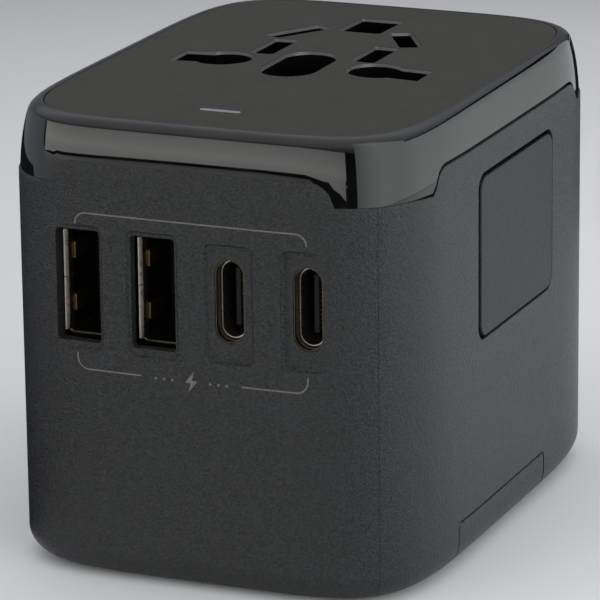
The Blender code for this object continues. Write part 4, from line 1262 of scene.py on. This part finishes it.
def curved_wall(name, radius, azimuths, low_edge, high_edge, material, glow, lean=(0, 0)):
    """A wall bent round the object, hidden from the camera.

    Azimuth runs from the front (-Y) towards the right (+X); elevation is seen from the band's height.
    The low and high edges are (azimuth, elevation) stops. The glow function gives the radiance at
    an azimuth and elevation in degrees; lean turns the lower corners of the two ends by so many
    degrees.
    """
    columns = LIGHT_COLUMNS
    rows = LIGHT_ROWS
    bm = bmesh.new()
    layer = bm.verts.layers.float.new("radiance")
    grid = []
    for column in range(columns + 1):
        line = []
        for row in range(rows + 1):
            drop = 1 - row / rows
            first = azimuths[0] + lean[0] * drop
            last = azimuths[1] + lean[1] * drop
            azimuth = first + (last - first) * column / columns
            high = ramp(azimuth, high_edge)
            elevation = high - (high - ramp(azimuth, low_edge)) * drop
            z = max(0.6, BAND_MIDDLE + radius * math.tan(math.radians(elevation)))
            turn = math.radians(azimuth)
            vert = bm.verts.new((radius * math.sin(turn), -radius * math.cos(turn), z))
            vert[layer] = glow(azimuth, elevation)
            line.append(vert)
        grid.append(line)
    for left, right in zip(grid, grid[1:]):
        for row in range(rows):
            bm.faces.new((left[row], right[row], right[row + 1], left[row + 1]))
    wall = staged(name, bm, material)
    wall.visible_camera = False
    return wall


def flag(name, corners):
    """A flat black card with four corners that only reflections see."""
    bm = bmesh.new()
    bm.faces.new([bm.verts.new(corner) for corner in corners])
    card = staged(name, bm, MATERIALS["deep_black"])
    for ray in ("camera", "diffuse", "shadow", "transmission"):
        setattr(card, f"visible_{ray}", False)


def build_world():
    """A soft overhead dome that is dim near the horizon, behind a plain pale backdrop."""
    world = bpy.data.worlds.new("studio")
    bpy.context.scene.world = world
    world.use_nodes = True
    tree = world.node_tree
    tree.nodes.clear()
    coords = add_node(tree, "TexCoord")
    parts = add_node(tree, "SeparateXYZ")
    tree.links.new(coords.outputs["Generated"], parts.inputs["Vector"])
    fade = add_node(tree, "ValToRGB")
    tree.links.new(parts.outputs["Z"], fade.inputs["Fac"])
    stops = fade.color_ramp.elements
    stops[0].position = 0.0
    stops[0].color = (0.05, 0.05, 0.05, 1.0)
    stops[1].position = 1.0
    stops[1].color = (0.9, 0.9, 0.9, 1.0)
    for place, colour in (
            (0.04, (0.04, 0.04, 0.04)), (0.08, (0.10, 0.10, 0.10)), (0.3, (0.22, 0.23, 0.26)),
            (0.62, (0.72, 0.74, 0.80))):
        stop = stops.new(place)
        stop.color = (*colour, 1.0)
    dome = add_node(tree, "Background")
    tree.links.new(fade.outputs["Color"], dome.inputs["Color"])
    backdrop = add_node(tree, "Background")
    backdrop.inputs["Color"].default_value = (0.86, 0.86, 0.86, 1.0)
    path = add_node(tree, "LightPath")
    mix = add_node(tree, "MixShader")
    tree.links.new(path.outputs["Is Camera Ray"], mix.inputs["Fac"])
    tree.links.new(dome.outputs["Background"], mix.inputs[1])
    tree.links.new(backdrop.outputs["Background"], mix.inputs[2])
    output = add_node(tree, "OutputWorld")
    tree.links.new(mix.outputs["Shader"], output.inputs["Surface"])


def build_lights():
    def front_glow(azimuth, elevation):
        height = ramp(elevation, ((0, 2.15), (1.5, 2.3), (3.5, 2.62), (8, 2.25), (17.5, 1.75)))
        return height * ramp(azimuth, ((-20, 1.0), (10, 0.88), (18, 0.8)))

    def side_glow(azimuth, elevation):
        return ramp(azimuth, ((32, 1.15), (45, 1.75), (67, 2.2), (117, 1.75), (137, 1.2), (155, 0.85)))

    def apron_glow(azimuth, elevation):
        return 0.7 * side_glow(azimuth, elevation)

    def left_glow(azimuth, elevation):
        return ramp(azimuth, ((-160, 0.2), (-125, 0.24), (-93, 0.55), (-73, 0.75)))

    warm = glowing_material("warm_cloth", (1.0, 0.99, 0.97))
    cool = glowing_material("cool_cloth", (0.90, 0.94, 1.05))
    plain = glowing_material("plain_cloth", (0.955, 0.99, 1.0))
    front_low = ((-63, -2.2), (-52, -1.3), (-38, -0.7), (-28, -0.3), (-23, 0.1), (-10, 0.7))
    line_low = tuple((azimuth, elevation - 1.2) for azimuth, elevation in front_low)
    foot_low = ((-8, 0.7), (4, -1.3), (13, -5.0), (18.5, -8.4))
    shade_low = ((-8, -0.5), (0, -3.2), (6, -9.0))
    front = (-71, 18.5)
    curved_wall("front_softbox", FRONT_WALL, front, front_low, level(18.0), warm, front_glow, (9, 0))
    curved_wall("front_line", FRONT_WALL, (-62, 18.5), line_low, front_low, warm, black)
    curved_wall("corner_foot", CORNER_WALL, (-8, 18.5), foot_low, level(0.9), warm, front_glow)
    curved_wall("corner_shade", CORNER_WALL, (-8, 18.5), shade_low, foot_low, warm, black)
    curved_wall("side_softbox", SIDE_WALL, (31, 172), level(-12), level(17.5), plain, side_glow)
    corner_high = ((98, 72), (112, 17.6))
    top = curved_wall(
        "corner_top", CORNER_TOP_WALL, (31, 112), level(17.4), corner_high, plain, side_glow)
    apron = curved_wall(
        "corner_apron", APRON_WALL, (36, 132), level(-20), level(-11.8), plain, apron_glow)
    for wall in (top, apron):
        wall.visible_diffuse = False
        wall.visible_shadow = False
    curved_wall("side_softbox_rim", SIDE_WALL, (106, 172), level(17.6), level(22.5), plain, black)
    left = (-178, -71.8)
    curved_wall("left_softbox", LEFT_WALL, left, level(-9.5), level(20), cool, left_glow, (0, 14))
    build_flags()


def floor_flag(name, corners):
    flag(name, [(x, y, FLAG_Z) for x, y in corners])


def build_flags():
    """Black cards that keep the floor and the gap between the softboxes dark in reflections."""
    floor_flag("left_floor_flag", ((-900, -60), (-27, -60), (-27, 900), (-900, 900)))
    floor_flag("gap_floor_flag", ((0, -110), (-60, -1100), (600, -1100), (90, -100)))
    floor_flag("back_floor_flag", ((-10, 130), (40, 130), (110, 900), (-250, 900)))
    flag("gap_flag", ((145, -400, 0), (245, -400, 0), (245, -400, 190), (145, -400, 190)))


def build_camera():
    data = bpy.data.cameras.new("photo_camera")
    data.lens = CAMERA_LENS
    data.sensor_width = 36.0
    data.clip_start = 0.01
    data.clip_end = 20.0
    camera = bpy.data.objects.new("photo_camera", data)
    camera.location = Vector(CAMERA_PLACE) * MM
    aim = (Vector(CAMERA_TARGET) - Vector(CAMERA_PLACE)).to_track_quat("-Z", "Y")
    roll = Matrix.Rotation(math.radians(CAMERA_ROLL), 4, "Z").to_quaternion()
    camera.rotation_mode = "QUATERNION"
    camera.rotation_quaternion = aim @ roll
    bpy.context.scene.collection.objects.link(camera)
    bpy.context.scene.camera = camera


bpy.context.scene.view_settings.view_transform = "Standard"
make_materials()
build_front_fascia()
build_rear_shell()
build_gloss_bezel()
build_socket_plate()
build_slot_liners()
build_light_bar()
build_base_plate()
build_screws()
build_printed_marks()
build_usb_ports()
build_release_button()
build_fuse_drawer()
build_track_plate()
for kind in LEVERS:
    build_lever(kind)
build_pins()
build_springs()
build_slot_shade_sheet()
dress_inner_nodes()
build_floor()
build_world()
build_lights()
build_camera()
